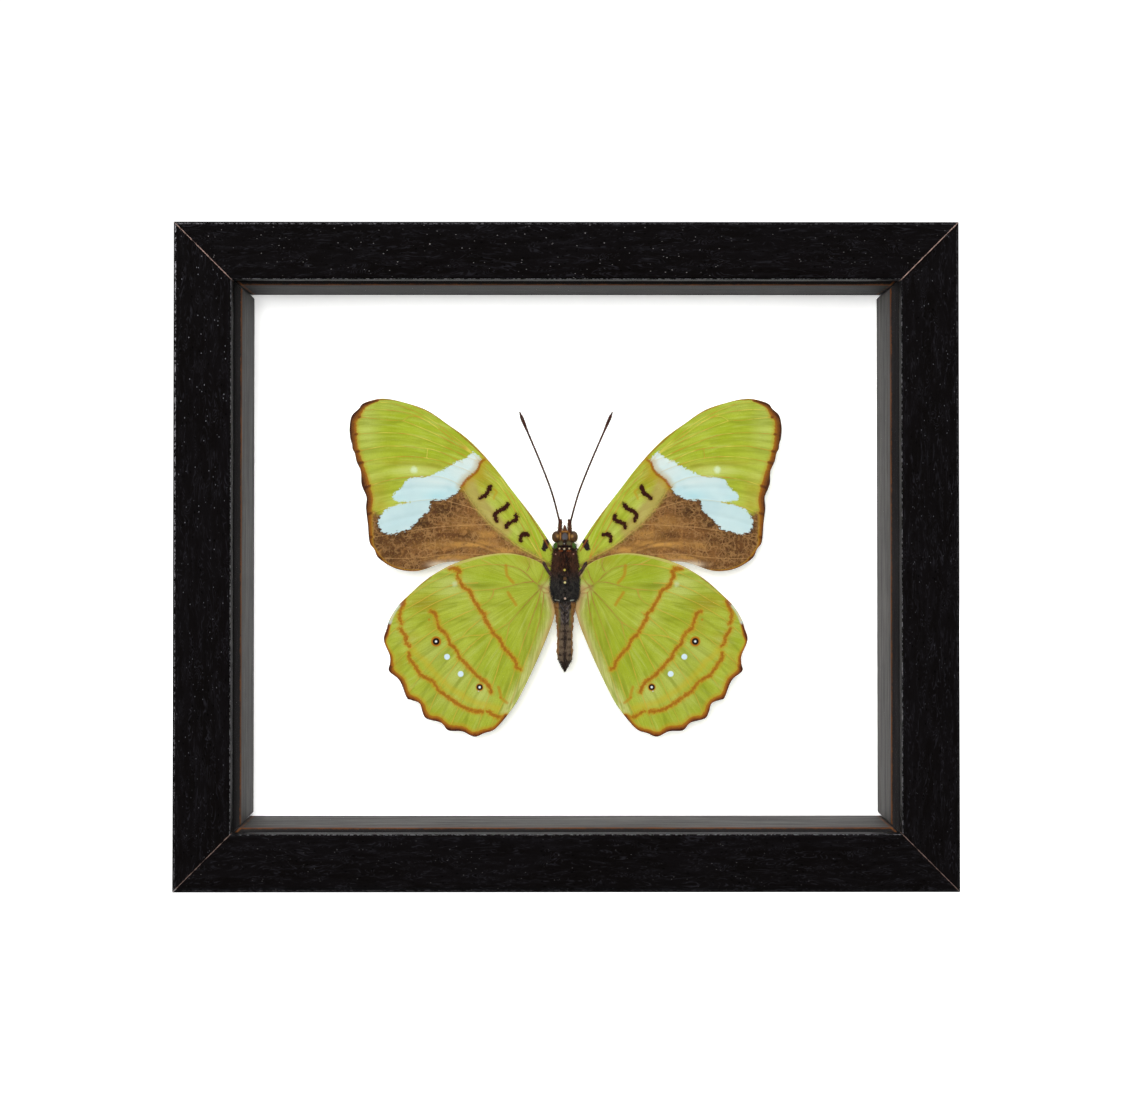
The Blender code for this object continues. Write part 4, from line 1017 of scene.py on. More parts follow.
def glass_finish(name):
    """Thin clear picture glass that lets light straight through and keeps a faint gloss."""
    finish = Finish(name, Roughness=0.04, Specular_IOR_Level=0.5)
    place = finish.place()
    smear = finish.noise(place, 0.05, 1.0)
    finish.set(Base_Color=finish.mix(smear, tint(236, 244, 240), tint(228, 238, 234)))
    clear = finish.node("ShaderNodeBsdfTransparent", values={"Color": (1.0, 1.0, 1.0, 1.0)})
    gloss = finish.node("ShaderNodeFresnel", values={"IOR": 1.45})
    shadow = finish.node("ShaderNodeLightPath", output="Is Shadow Ray")
    amount = gloss * (0.045 + smear * 0.03) * (1.0 - shadow)
    mixed = finish.node("ShaderNodeMixShader", values={0: amount, 1: clear,
                                                       2: Wire(finish.tree, finish.shader.outputs[0])})
    finish.tree.links.new(mixed.socket, finish.output.inputs["Surface"])
    return finish.material


def wing_grounds(finish, place):
    """Noise along the veins, fine scales and soft blotches that both pairs of wings share."""
    ray, run = finish.field("ray"), finish.field("run")
    streak = finish.noise(finish.joined(ray * 0.20, run * 0.06, 0.0), 1.5, 3.0, 0.55, 0.2)
    thread = finish.noise(finish.joined(ray * 0.6, run * 0.09, 3.0), 2.0, 2.0, 0.6)
    blotch = finish.noise(place, 0.22, 3.0, 0.55)
    scales = finish.noise(place, 7.0, 2.0, 0.6)
    return streak, thread, blotch, scales


def olive_green(finish, streak, thread, blotch, scales, colours):
    """The wings' green ground: blotches, streaks along the veins, and patches of other shades."""
    base = finish.mix(finish.ramp(blotch, 0.32, 0.68), colours["leaf"], colours["lime"])
    base = finish.layers(base,
        ("bright", 0.75, colours["bright"]),
        ("pale", 0.8, colours["pale"]),
        ("olive", 0.85, colours["olive"]),
        (streak, 0.50, 0.72, 0.42, colours["shade"]),
        (streak, 0.47, 0.28, 0.40, colours["pale"]),
        (thread, 0.52, 0.72, 0.30, colours["shade"]),
        (thread, 0.46, 0.30, 0.25, colours["pale"]))
    return finish.mix(finish.ramp(scales, 0.35, 0.7, 0.0, 0.25), base, colours["shade"])


def forewing_finish(name, greens):
    """Underside of the forewing: green tip and cell, pale blue band, brown rear area, dark border."""
    finish = Finish(name, Specular_IOR_Level=0.08)
    place = finish.place()
    streak, thread, blotch, scales = wing_grounds(finish, place)
    rag = finish.noise(place, 2.6, 3.0, 0.65) - 0.5
    fine = finish.noise(place, 5.5, 2.0, 0.6) - 0.5
    vein, fold = finish.field("vein"), finish.field("fold")
    band, brown = finish.field("band"), finish.field("brown")
    outer, front, run = (finish.field(name) for name in ("outer", "front", "run"))

    base = olive_green(finish, streak, thread, blotch, scales, greens)
    # Painted shade in the folds and on both sides of the raised veins.
    base = finish.layers(base,
        (fold, 0.5, 0.0, 0.30, greens["shade"]),
        (vein, 0.5, 0.0, 0.18, greens["shade"]))
    vein_line = finish.ramp(vein + fine * 0.06, 0.04, -0.03)
    broken = finish.ramp(finish.noise(place, 0.45, 2.0), 0.35, 0.6, 0.5, 1.0)
    vein_tone = finish.mix(finish.ramp(finish.noise(place, 0.3, 1.0), 0.4, 0.6), tint(216, 194, 84),
                           tint(188, 128, 44))
    base = finish.layers(base, (vein_line * broken, 0.85, vein_tone))

    mauve = finish.ramp(finish.field("mauve") + rag * 1.1, 1.35, 0.0)
    base = finish.layers(base, (mauve, 0.6, (172, 142, 90)))

    curl_place = finish.node("ShaderNodeVectorMath", {"operation": 'ADD'}, {
        0: place, 1: finish.stretched(finish.node("ShaderNodeTexNoise", values={
            "Vector": place, "Scale": 0.9, "Detail": 2.0}, output="Color"), (1.3, 1.3, 1.3))})
    curl = finish.cells(curl_place, 0.95, 'DISTANCE_TO_EDGE')
    small_curl = finish.cells(curl_place, 1.9, 'DISTANCE_TO_EDGE')
    curl_line = finish.ramp(curl, 0.15, 0.03).most(finish.ramp(small_curl, 0.16, 0.04) * 0.6)
    curl_line = curl_line * finish.ramp(finish.noise(place, 0.8, 3.0), 0.40, 0.56)
    earth = finish.mix(finish.ramp(blotch, 0.35, 0.65), tint(94, 60, 30), tint(118, 78, 42))
    earth = finish.layers(earth,
        ("tan", 0.9, (198, 148, 74)),
        ("dark", 1.0, (48, 29, 15)))
    mottle = finish.noise(place, 0.8, 5.0, 0.75)
    earth = finish.layers(earth, (mottle, 0.48, 0.62, 0.6, (70, 44, 26)))
    paler = finish.ramp(mottle, 0.46, 0.34, 0.0, 0.5) * (1.0 - finish.field("dark") * 0.6)
    earth = finish.layers(earth,
        (paler, 1.0, (194, 142, 78)),
        (curl_line, 0.55, (180, 136, 82)),
        (scales, 0.4, 0.75, 0.3, (62, 40, 24)),
        (thread, 0.54, 0.74, 0.25, (196, 150, 84)),
        (streak, 0.52, 0.72, 0.25, (96, 60, 32)),
        # painted shade in the folds
        (fold, 0.35, 0.0, 0.45, (84, 52, 30)),
        (vein_line, 0.55, (184, 142, 88)),
        ("cream", 0.9, (232, 216, 188)))
    earth_cover = finish.ramp(brown + rag * 1.4, -0.7, 0.6)
    base = finish.layers(base, (earth_cover, 1.0, earth))

    sky = finish.mix(finish.ramp(blotch, 0.35, 0.65), tint(186, 212, 214), tint(194, 218, 218))
    sky = finish.layers(sky,
        ("whiter", 1.0, (212, 224, 218)),
        ("cyan", 0.8, (168, 210, 216)),
        (streak, 0.5, 0.7, 0.4, (214, 224, 220)),
        (scales, 0.45, 0.8, 0.12, (170, 200, 205)),
        (vein_line, 0.42, (205, 190, 140)))
    tooth = finish.noise(finish.joined(finish.field("ray") * 0.8, run * 0.5, 6.0), 2.4, 2.0) - 0.5
    sky_cover = finish.ramp(band + rag * 0.9 + fine * 0.7 + tooth * 1.0, -0.07, 0.08)
    base = finish.layers(base,
        (finish.ramp(band + rag * 0.3, -0.55, -0.05) * earth_cover, 0.55, (50, 30, 18)),
        (sky_cover, 1.0, sky),
        (finish.field("pale spot") + rag * 0.5, 0.25, -0.35, 0.85, (206, 224, 182)))

    rust = finish.field("orange edge") + rag * 0.5
    base = finish.layers(base,
        (rust, 1.3, 0.1, 0.5, (176, 138, 24)),
        (rust, 0.22, -0.12, 0.9, (150, 84, 16)),
        (finish.field("bar orange") + rag * 0.2, 0.18, 0.0, 0.55, (184, 140, 30)))
    bars = finish.ramp(finish.field("bars") + rag * 0.9 + fine * 0.5, 0.08, -0.08)
    base = finish.layers(base,
        ("bars", 0.5, 0.0, 0.4, (140, 104, 26)),
        (bars, 1.0, (50, 18, 6)),
        (finish.field("root patch") + rag * 1.2, 0.25, 0.0, 1.0, (38, 26, 26)))

    tick = finish.ramp(vein, 0.35, 0.0)
    across = outer + rag * 0.42 - tick * 0.2
    base = finish.layers(base,
        (across, 1.6, 1.0, 0.55, (178, 140, 40)),
        (across, 1.12, 0.86, 1.0, (150, 92, 24)),
        (across, 0.84, 0.5, 1.0, (112, 66, 24)),
        (across, 0.42, 0.16, 1.0, (66, 34, 18)),
        (finish.ramp(across, 1.1, 0.8) * tick, 0.55, (70, 38, 18)),
        (front + rag * 0.2, 0.2, 0.04, 0.75, (146, 80, 32)))
    relief = finish.bump(streak, 0.12, 0.6)
    return finish.set(Base_Color=base, Roughness=0.62 + scales * 0.2, Normal=relief)


def hindwing_finish(name, greens):
    """Underside of the hindwing: green with orange-brown lines, two eyespots and a scalloped border."""
    finish = Finish(name, Specular_IOR_Level=0.08)
    place = finish.place()
    streak, thread, blotch, scales = wing_grounds(finish, place)
    rag = finish.noise(place, 2.2, 3.0, 0.65) - 0.5
    fine = finish.noise(place, 5.5, 2.0, 0.6) - 0.5
    vein, fold = finish.field("vein"), finish.field("fold")
    outer, run = finish.field("outer"), finish.field("run")

    base = olive_green(finish, streak, thread, blotch, scales, greens)
    base = finish.layers(base, ("deep", 0.7, greens["shade"]))
    inner = finish.field("inner edge")
    silk = finish.mix(finish.ramp(thread, 0.35, 0.65), tint(216, 208, 146), tint(168, 176, 94))
    base = finish.layers(base,
        (inner + rag * 1.2, 2.3, 0.5, 0.7, silk),
        (finish.ramp(inner + rag * 0.5, 1.1, 0.15) * finish.ramp(run, 17.0, 6.0), 0.85, (184, 146, 100)),
        # painted shade in the folds and beside the raised veins
        (fold, 0.42, 0.0, 0.36, greens["shade"]),
        (vein, 0.5, 0.0, 0.16, greens["shade"]))
    vein_line = finish.ramp(vein + fine * 0.05, 0.05, -0.03)
    vein_tone = finish.mix(finish.ramp(run, 3.0, 14.0), tint(160, 104, 56), tint(200, 164, 60))
    broken = finish.ramp(finish.noise(place, 0.45, 2.0), 0.35, 0.6, 0.5, 1.0)
    base = finish.layers(base,
        (vein_line * broken, 0.85, vein_tone),
        (run + rag * 0.8, 0.8, 0.2, 0.45, (140, 88, 60)),
        (finish.field("chain") + rag * 1.0, 0.85, -0.1, 0.5, (190, 166, 40)))
    lines = finish.field("lines")
    body = lines + rag * 1.0 + fine * 0.5
    base = finish.layers(base,
        (body, 0.55, 0.0, 0.55, (180, 146, 30)),
        (body, 0.14, -0.14, 0.85, (166, 106, 20)),
        (body, -0.05, -0.32, 0.6, (142, 80, 14)))
    faint = finish.field("faint lines") + rag * 0.3
    base = finish.layers(base,
        (faint, 0.22, -0.12, 0.68, (176, 120, 26)),
        (finish.field("pale dots") + fine * 0.1, 0.06, -0.08, 1.0, (206, 226, 236)),
        (finish.field("faint dots") + rag * 0.6, 0.2, -0.4, 0.5, (196, 214, 170)),
        ("rust dots", 0.08, -0.1, 0.7, (170, 110, 24)))
    for eye, ring, black, pupil in (("eye front", 0.86, 0.60, 0.19), ("eye rear", 0.66, 0.52, 0.19)):
        away = finish.field(eye) + fine * 0.06
        base = finish.layers(base,
            (away, ring + 0.12, ring - 0.1, 1.0, (176, 110, 24)),
            (away, black + 0.08, black - 0.08, 1.0, (20, 12, 10)),
            (away, pupil + 0.09, pupil - 0.09, 1.0, (236, 240, 242)))

    tick = finish.ramp(vein, 0.35, 0.0)
    across = outer + rag * 0.35 - tick * 0.1
    base = finish.layers(base,
        (across, 1.9, 1.05, 0.6, (182, 144, 30)),
        (across, 1.15, 0.8, 1.0, (156, 96, 22)),
        (across, 0.72, 0.40, 1.0, (118, 62, 22)),
        (across, 0.34, 0.12, 1.0, (68, 32, 18)),
        (finish.field("pale margin") + rag * 0.3, 0.42, 0.0, 0.75, (196, 216, 204)),
        (finish.field("front edge") + rag * 0.2, 0.34, 0.04, 0.55, (206, 176, 120)))
    stripe = finish.field("front stripe") + rag * 0.2
    base = finish.layers(base, (stripe, 0.35, -0.05, 0.85, (140, 76, 30)))
    relief = finish.bump(streak, 0.12, 0.6)
    return finish.set(Base_Color=base, Roughness=0.62 + scales * 0.2, Normal=relief)


def fur_finish(name):
    """Fur of head and thorax: brown over slate, with crown, collar and tufts, and small cream dots."""
    finish = Finish(name, Specular_IOR_Level=0.08)
    place = finish.place()
    x, _, z = finish.parts(place)
    out = (x - BODY_OUT).size()
    up = z - BOX_MIDDLE
    flat = finish.joined(x - BODY_OUT, 0.0, up)
    folded = finish.joined(out, 0.0, up)
    tuft = finish.noise(place, 1.5, 3.0, 0.6)
    strand = finish.noise(finish.stretched(place, (1.0, 0.7, 0.35)), 4.0, 2.0, 0.6)
    high = finish.ramp(up + tuft * 3.0, -3.2, -0.2)
    side = finish.ramp(out + tuft * 0.5, 0.7, 1.7)
    lower = finish.mix(finish.ramp(tuft, 0.42, 0.58), tint(9, 8, 8), tint(58, 54, 51))
    lower = finish.layers(lower, (side, 0.35, (56, 55, 56)))
    upper = finish.mix(finish.ramp(tuft, 0.42, 0.58), tint(18, 8, 6), tint(56, 27, 17))
    upper = finish.layers(upper, (side, 0.55, (90, 60, 44)))
    base = finish.mix(high, lower, upper)
    light = finish.mix(high, tint(88, 80, 70), tint(112, 74, 50))
    base = finish.layers(base, (strand, 0.52, 0.66, 0.5, light), (strand, 0.47, 0.36, 0.7, (10, 7, 7)))
    crown = finish.ramp(up, 2.2, 2.6)
    base = finish.mix(crown, base, finish.mix(tuft, tint(52, 34, 20), tint(96, 68, 34)))
    for across, rise, reach, tall, strength, colour in HEAD_PATCHES:
        away = finish.far(folded, (across, 0.0, rise), (1.0, 1.0, reach / tall)) + (tuft - 0.5) * 0.3 * reach
        base = finish.layers(base, (away, reach * 1.25, reach * 0.7, strength, tint(*colour)))
    crescent = finish.ramp((up + 7.78 - out * 0.15).size(), 0.12, 0.05) * finish.ramp(tuft, 0.4, 0.5)
    crescent = crescent * finish.ramp(out, 0.8, 1.0) * finish.ramp(out, 1.8, 1.6)
    base = finish.layers(base, (crescent, 0.9, (198, 200, 186)))
    for across, rise, reach, colour in BODY_DOTS:
        away = finish.far(flat, (across, 0.0, rise))
        base = finish.layers(base, (away, reach * 1.25, reach * 0.6, 1.0, tint(*colour)))
    return finish.set(Base_Color=base, Roughness=0.6 + strand * 0.25,
                      Normal=finish.bump(strand + tuft, 0.12, 0.8))


def abdomen_finish(name):
    """Segmented abdomen: dark middle line, brown-grey lobes, amber sides, bluish front, black tip."""
    finish = Finish(name, Specular_IOR_Level=0.1)
    place = finish.place()
    x, _, z = finish.parts(place)
    up = z - BOX_MIDDLE
    out = (x - BODY_OUT).size()
    strand = finish.noise(finish.stretched(place, (1.0, 1.0, 0.4)), 5.0, 2.0, 0.7)
    mottle = finish.noise(place, 1.5, 3.0, 0.6)
    ring = ((up - ABDOMEN[0][0]) * (1.0 / SEGMENT_PITCH)).zigzag()
    front = finish.ramp(up, -12.6, -10.8)
    base = finish.mix(finish.ramp(mottle, 0.38, 0.62), tint(44, 34, 27), tint(88, 72, 58))
    base = finish.layers(base,
        (finish.ramp(out, 0.25, 0.55) * finish.ramp(ring, 0.06, 0.26), 0.5, (126, 108, 88)))
    slate = finish.mix(finish.ramp(mottle, 0.4, 0.6), tint(26, 22, 24), tint(66, 60, 62))
    base = finish.mix(front * 0.85, base, slate)
    chevron = (up * 0.9 - out * 1.2).zigzag()
    base = finish.layers(base,
        (finish.ramp(chevron, 0.3, 0.45) * front, 0.45, (104, 100, 102)),
        (out + ring * 0.35, 0.34, 0.12, 0.85, (24, 15, 16)))
    olive = finish.ramp((out - 1.0).size(), 0.36, 0.12) * finish.ramp(up, -12.6, -11.8)
    olive = olive * finish.ramp(up, -8.8, -9.6)
    base = finish.layers(base, (olive, 0.65, (124, 116, 60)))
    amber = finish.ramp(out + mottle * 0.3, 1.1, 1.35) * finish.ramp(up, -17.8, -16.4)
    base = finish.layers(base,
        (amber, 0.8, (158, 108, 50)),
        (ring + mottle * 0.3, 0.22, 0.1, 0.5, (34, 24, 20)),
        (up + mottle, -17.0, -17.7, 0.85, (30, 20, 17)),
        (strand, 0.5, 0.7, 0.35, (150, 128, 104)),
        (strand, 0.46, 0.3, 0.4, (24, 18, 16)))
    return finish.set(Base_Color=base, Roughness=0.5 + strand * 0.3,
                      Normal=finish.bump(strand + mottle, 0.1, 0.8))


def eye_finish(name):
    """Brown compound eyes with fine lenses, a painted shade toward their rim and a painted highlight on their
    inner side.
    """
    finish = Finish(name, Specular_IOR_Level=0.5)
    place = finish.place()
    x, _, z = finish.parts(place)
    folded = finish.joined((x - BODY_OUT).size(), 0.0, z - BOX_MIDDLE)
    lens = finish.cells(place, 7.0)
    cloud = finish.noise(place, 1.6, 2.0)
    base = finish.mix(finish.ramp(cloud, 0.35, 0.65), tint(74, 46, 20), tint(116, 78, 34))
    # Painted highlight on the inner side of each eye.
    base = finish.layers(base, (finish.far(folded, (1.22, 0.0, 3.3)), 0.42, 0.1, 0.8, (196, 148, 74)))
    # Painted shade toward the eye's rim.
    rim = finish.far(folded, (1.48, 0.0, 3.18), (1.3, 1.0, 1.0))
    base = finish.layers(base, (rim, 0.6, 0.92, 0.75, (44, 27, 13)), (lens, 0.25, 0.55, 0.5, (30, 18, 11)))
    return finish.set(Base_Color=base, Roughness=0.34 + lens * 0.3, Normal=finish.bump(lens, 0.03, 0.6))


def horn_finish(name, dark, light, step):
    """Horny limbs and antennae: reddish dark brown in fine joints."""
    finish = Finish(name, Specular_IOR_Level=0.25)
    place = finish.place()
    z = finish.parts(place)[2]
    joint = (z * (1.0 / step)).zigzag()
    mottle = finish.noise(place, 2.4, 3.0, 0.65)
    base = finish.mix(finish.ramp(mottle, 0.35, 0.7), dark, light)
    base = finish.layers(base, (joint, 0.2, 0.04, 0.45, (22, 12, 10)))
    return finish.set(Base_Color=base, Roughness=0.42 + mottle * 0.25, Normal=finish.bump(mottle, 0.04, 0.6))


# ---- Geometry Nodes ----


class NodePlan:
    """A Geometry Nodes tree under construction, with named inputs for its sizes."""

    def __init__(self, name, inputs):
        self.tree = bpy.data.node_groups.new(name, 'GeometryNodeTree')
        self.tree.interface.new_socket("Geometry", in_out='INPUT', socket_type='NodeSocketGeometry')
        self.names = {}
        for label, kind in inputs.items():
            socket = self.tree.interface.new_socket(label, in_out='INPUT', socket_type="NodeSocket" + kind)
            self.names[label] = socket.identifier
        self.tree.interface.new_socket("Geometry", in_out='OUTPUT', socket_type='NodeSocketGeometry')
        self.start = self.tree.nodes.new("NodeGroupInput")
        self.end = self.tree.nodes.new("NodeGroupOutput")

    def given(self, label):
        """One of the tree's named inputs."""
        return self.start.outputs[label]

    def node(self, kind, settings=None, values=None, output=0):
        """A node's output."""
        return add_node(self.tree, kind, settings, values).outputs[output]

    def close(self, geometry):
        """End the tree: realize what was repeated and give it its finish."""
        real = self.node("GeometryNodeRealizeInstances", values={0: geometry})
        dressed = self.node("GeometryNodeSetMaterial",
                            values={"Geometry": real, "Material": self.given("Material")})
        self.tree.links.new(dressed, self.end.inputs["Geometry"])

    def grow(self, name, source, slot, **values):
        """Run the tree on a source object and keep the result as a plain piece."""
        modifier = source.modifiers.new(name, 'NODES')
        modifier.node_group = self.tree
        for label, value in values.items():
            modifier[self.names[label.replace("_", " ")]] = value
        graph = bpy.context.evaluated_depsgraph_get()
        graph.update()
        mesh = bpy.data.meshes.new_from_object(source.evaluated_get(graph))
        source.modifiers.remove(modifier)
        mesh.name = name
        if not mesh.polygons:
            raise RuntimeError(name + " came out empty")
        return dress(name, mesh, values["Material"])


def hair_plan():
    """Short tapered hairs scattered over a surface and combed one way."""
    plan = NodePlan("hair_coat", {"Density": "Float", "Length": "Float", "Thickness": "Float",
                                  "Comb": "Vector", "Spread": "Float", "Seed": "Int", "Material": "Material"})
    where = plan.node("GeometryNodeInputNamedAttribute", {"data_type": 'FLOAT'}, {"Name": "fur"})
    density = plan.node("ShaderNodeMath", {"operation": 'MULTIPLY'}, {0: where, 1: plan.given("Density")})
    spots = plan.node("GeometryNodeDistributePointsOnFaces", {"distribute_method": 'RANDOM'},
                      {"Mesh": plan.given("Geometry"), "Density": density, "Seed": plan.given("Seed")})
    normal = spots.node.outputs["Normal"]
    jitter = plan.node("FunctionNodeRandomValue", {"data_type": 'FLOAT_VECTOR'},
                       {0: (-1.0, -1.0, -1.0), 1: (1.0, 1.0, 1.0), "Seed": 11})
    jitter = plan.node("ShaderNodeVectorMath", {"operation": 'SCALE'},
                       {"Vector": jitter, "Scale": plan.given("Spread")})
    lean = plan.node("ShaderNodeVectorMath", {"operation": 'ADD'}, {0: normal, 1: plan.given("Comb")})
    lean = plan.node("ShaderNodeVectorMath", {"operation": 'ADD'}, {0: lean, 1: jitter})
    turn = plan.node("FunctionNodeAlignRotationToVector", {"axis": 'Z'}, {"Vector": lean})
    hair = plan.node("GeometryNodeMeshCone", {"fill_type": 'NGON'},
                     {"Vertices": 4, "Side Segments": 2, "Radius Top": 0.0,
                      "Radius Bottom": plan.given("Thickness"), "Depth": plan.given("Length")})
    size = plan.node("FunctionNodeRandomValue", {"data_type": 'FLOAT'}, {2: 0.55, 3: 1.25, "Seed": 5},
                     output=1)
    coat = plan.node("GeometryNodeInstanceOnPoints", values={
        "Points": spots, "Instance": hair, "Rotation": turn, "Scale": size})
    plan.close(coat)
    return plan


def joint_plan():
    """A slim limb of flared joints that follow a path and swell into a club near its end."""
    plan = NodePlan("jointed_limb", {"Joints": "Int", "Pitch": "Float", "Shaft": "Float", "Club": "Float",
                                     "Club Start": "Float", "Material": "Material"})
    curve = plan.node("GeometryNodeMeshToCurve", values={"Mesh": plan.given("Geometry")})
    along = plan.node("GeometryNodeSplineParameter")
    swell = plan.node("ShaderNodeMapRange", {"interpolation_type": 'SMOOTHSTEP'}, {
        "Value": along, "From Min": plan.given("Club Start"), "From Max": 0.93,
        "To Min": plan.given("Shaft"), "To Max": plan.given("Club")})
    taper = plan.node("ShaderNodeMapRange", {"interpolation_type": 'SMOOTHSTEP'}, {
        "Value": along, "From Min": 0.955, "From Max": 1.0, "To Min": 1.0, "To Max": 0.45})
    girth = plan.node("ShaderNodeMath", {"operation": 'MULTIPLY'}, {0: swell, 1: taper})
    stored = plan.node("GeometryNodeStoreNamedAttribute", {"data_type": 'FLOAT', "domain": 'POINT'},
                       {"Geometry": curve, "Name": "girth", "Value": girth})
    spots = plan.node("GeometryNodeCurveToPoints", {"mode": 'COUNT'},
                      {"Curve": stored, "Count": plan.given("Joints")})
    turn = spots.node.outputs["Rotation"]
    kept = plan.node("GeometryNodeInputNamedAttribute", {"data_type": 'FLOAT'}, {"Name": "girth"})
    joint = plan.node("GeometryNodeMeshCone", {"fill_type": 'NGON'},
                      {"Vertices": 12, "Side Segments": 2, "Radius Top": 1.12, "Radius Bottom": 0.9,
                       "Depth": 1.0})
    size = plan.node("ShaderNodeCombineXYZ", values={0: kept, 1: kept, 2: plan.given("Pitch")})
    limb = plan.node("GeometryNodeInstanceOnPoints", values={
        "Points": spots, "Instance": joint, "Rotation": turn, "Scale": size})
    plan.close(limb)
    return plan


# ---- Settings ----


class BoxSettings(bpy.types.PropertyGroup):
    """Sizes and colours of the shadow box."""
    wood: bpy.props.FloatVectorProperty(
        name="Wood", description="Colour of the black stained moulding", subtype='COLOR', size=4,
        min=0.0, max=1.0, default=tint(9, 7, 7))
    bare_wood: bpy.props.FloatVectorProperty(
        name="Bare wood", description="Colour of the wood that shows at the mitres", subtype='COLOR', size=4,
        min=0.0, max=1.0, default=tint(188, 158, 146))
    mitre_gap: bpy.props.FloatProperty(
        name="Mitre gap", description="Half the gap left open at each mitre", default=0.02 * MM, min=0.0,
        unit='LENGTH', precision=5)
    unevenness: bpy.props.FloatProperty(
        name="Unevenness", description="How far the moulding's faces wander", default=0.03 * MM, min=0.0,
        unit='LENGTH', precision=5)


class WingSettings(bpy.types.PropertyGroup):
    """Sizes and colours of the wings."""
    cell: bpy.props.FloatProperty(
        name="Cell", description="Spacing of the points in a wing's mesh", default=0.135 * MM, min=0.1 * MM,
        unit='LENGTH', precision=5)
    vein_height: bpy.props.FloatProperty(
        name="Vein height", description="How far the veins stand up", default=0.07 * MM, min=0.0,
        unit='LENGTH', precision=5)
    fold_depth: bpy.props.FloatProperty(
        name="Fold depth", description="How deep the folds between the veins are", default=0.11 * MM, min=0.0,
        unit='LENGTH', precision=5)
    leaf: bpy.props.FloatVectorProperty(
        name="Leaf green", description="The darker of the two ground greens", subtype='COLOR', size=4,
        min=0.0, max=1.0, default=tint(162, 176, 44))
    lime: bpy.props.FloatVectorProperty(
        name="Lime green", description="The lighter of the two ground greens", subtype='COLOR', size=4,
        min=0.0, max=1.0, default=tint(178, 190, 64))


class BodySettings(bpy.types.PropertyGroup):
    """Sizes of the body's coat and limbs."""
    hair_density: bpy.props.FloatProperty(
        name="Hair density", description="Hairs on each square metre of the body", default=42.0e6, min=0.0)
    hair_length: bpy.props.FloatProperty(
        name="Hair length", description="Length of an average hair", default=0.75 * MM, min=0.0,
        unit='LENGTH', precision=5)
    hair_thickness: bpy.props.FloatProperty(
        name="Hair thickness", description="Radius of a hair at its foot", default=0.035 * MM, min=0.0,
        unit='LENGTH', precision=5)
    antenna_joints: bpy.props.IntProperty(
        name="Antenna joints", description="Number of joints in each antenna", default=64, min=8)


class StageSettings(bpy.types.PropertyGroup):
    """Strength of the studio lights."""
    front: bpy.props.FloatProperty(
        name="Front light", description="Power of the light just above the camera", default=9.9, min=0.0,
        unit='POWER')
    top: bpy.props.FloatProperty(
        name="Top light", description="Power of the light above", default=3.6, min=0.0, unit='POWER')
    left: bpy.props.FloatProperty(
        name="Left light", description="Power of the light at the left", default=1.9, min=0.0, unit='POWER')
    right: bpy.props.FloatProperty(
        name="Right light", description="Power of the light at the right", default=1.7, min=0.0, unit='POWER')
    back: bpy.props.FloatProperty(
        name="Back light", description="Power of the light behind the box", default=9.0, min=0.0,
        unit='POWER')
    surround: bpy.props.FloatProperty(
        name="Surround", description="Brightness of the white surroundings", default=0.2, min=0.0)


def greens_of(wings, share=1.0):
    """The wings' green shades, made darker by a share."""
    shades = {"leaf": wings.leaf, "lime": wings.lime, "bright": tint(156, 178, 32),
              "pale": tint(198, 206, 116), "olive": tint(168, 146, 40), "shade": tint(124, 134, 26)}
    return {name: (*(share * part for part in tuple(colour)[:3]), 1.0) for name, colour in shades.items()}


def refined(node, finish, width, degrees=30.0):
    """A softened copy of a solid whose edges are too sharp to look real."""
    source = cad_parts[node]
    shape = bmesh.new()
    shape.from_mesh(source.data)
    bmesh.ops.remove_doubles(shape, verts=shape.verts, dist=0.002 * MM)
    bmesh.ops.dissolve_limit(shape, angle_limit=math.radians(2.0), verts=shape.verts, edges=shape.edges)
    sharp = [edge for edge in shape.edges
             if len(edge.link_faces) == 2 and edge.calc_face_angle() > math.radians(degrees)]
    if width:
        bmesh.ops.bevel(shape, geom=sharp, offset=width, offset_type='OFFSET', segments=2, profile=0.5,
                        affect='EDGES', clamp_overlap=True)
    bmesh.ops.recalc_face_normals(shape, faces=shape.faces)
    mesh = bpy.data.meshes.new(node + "_finished")
    shape.to_mesh(mesh)
    shape.free()
    mesh.shade_smooth()
    sharpen(mesh, 35)
    return dress(node + "_finished", mesh, finish, node)


# ---- Operators ----


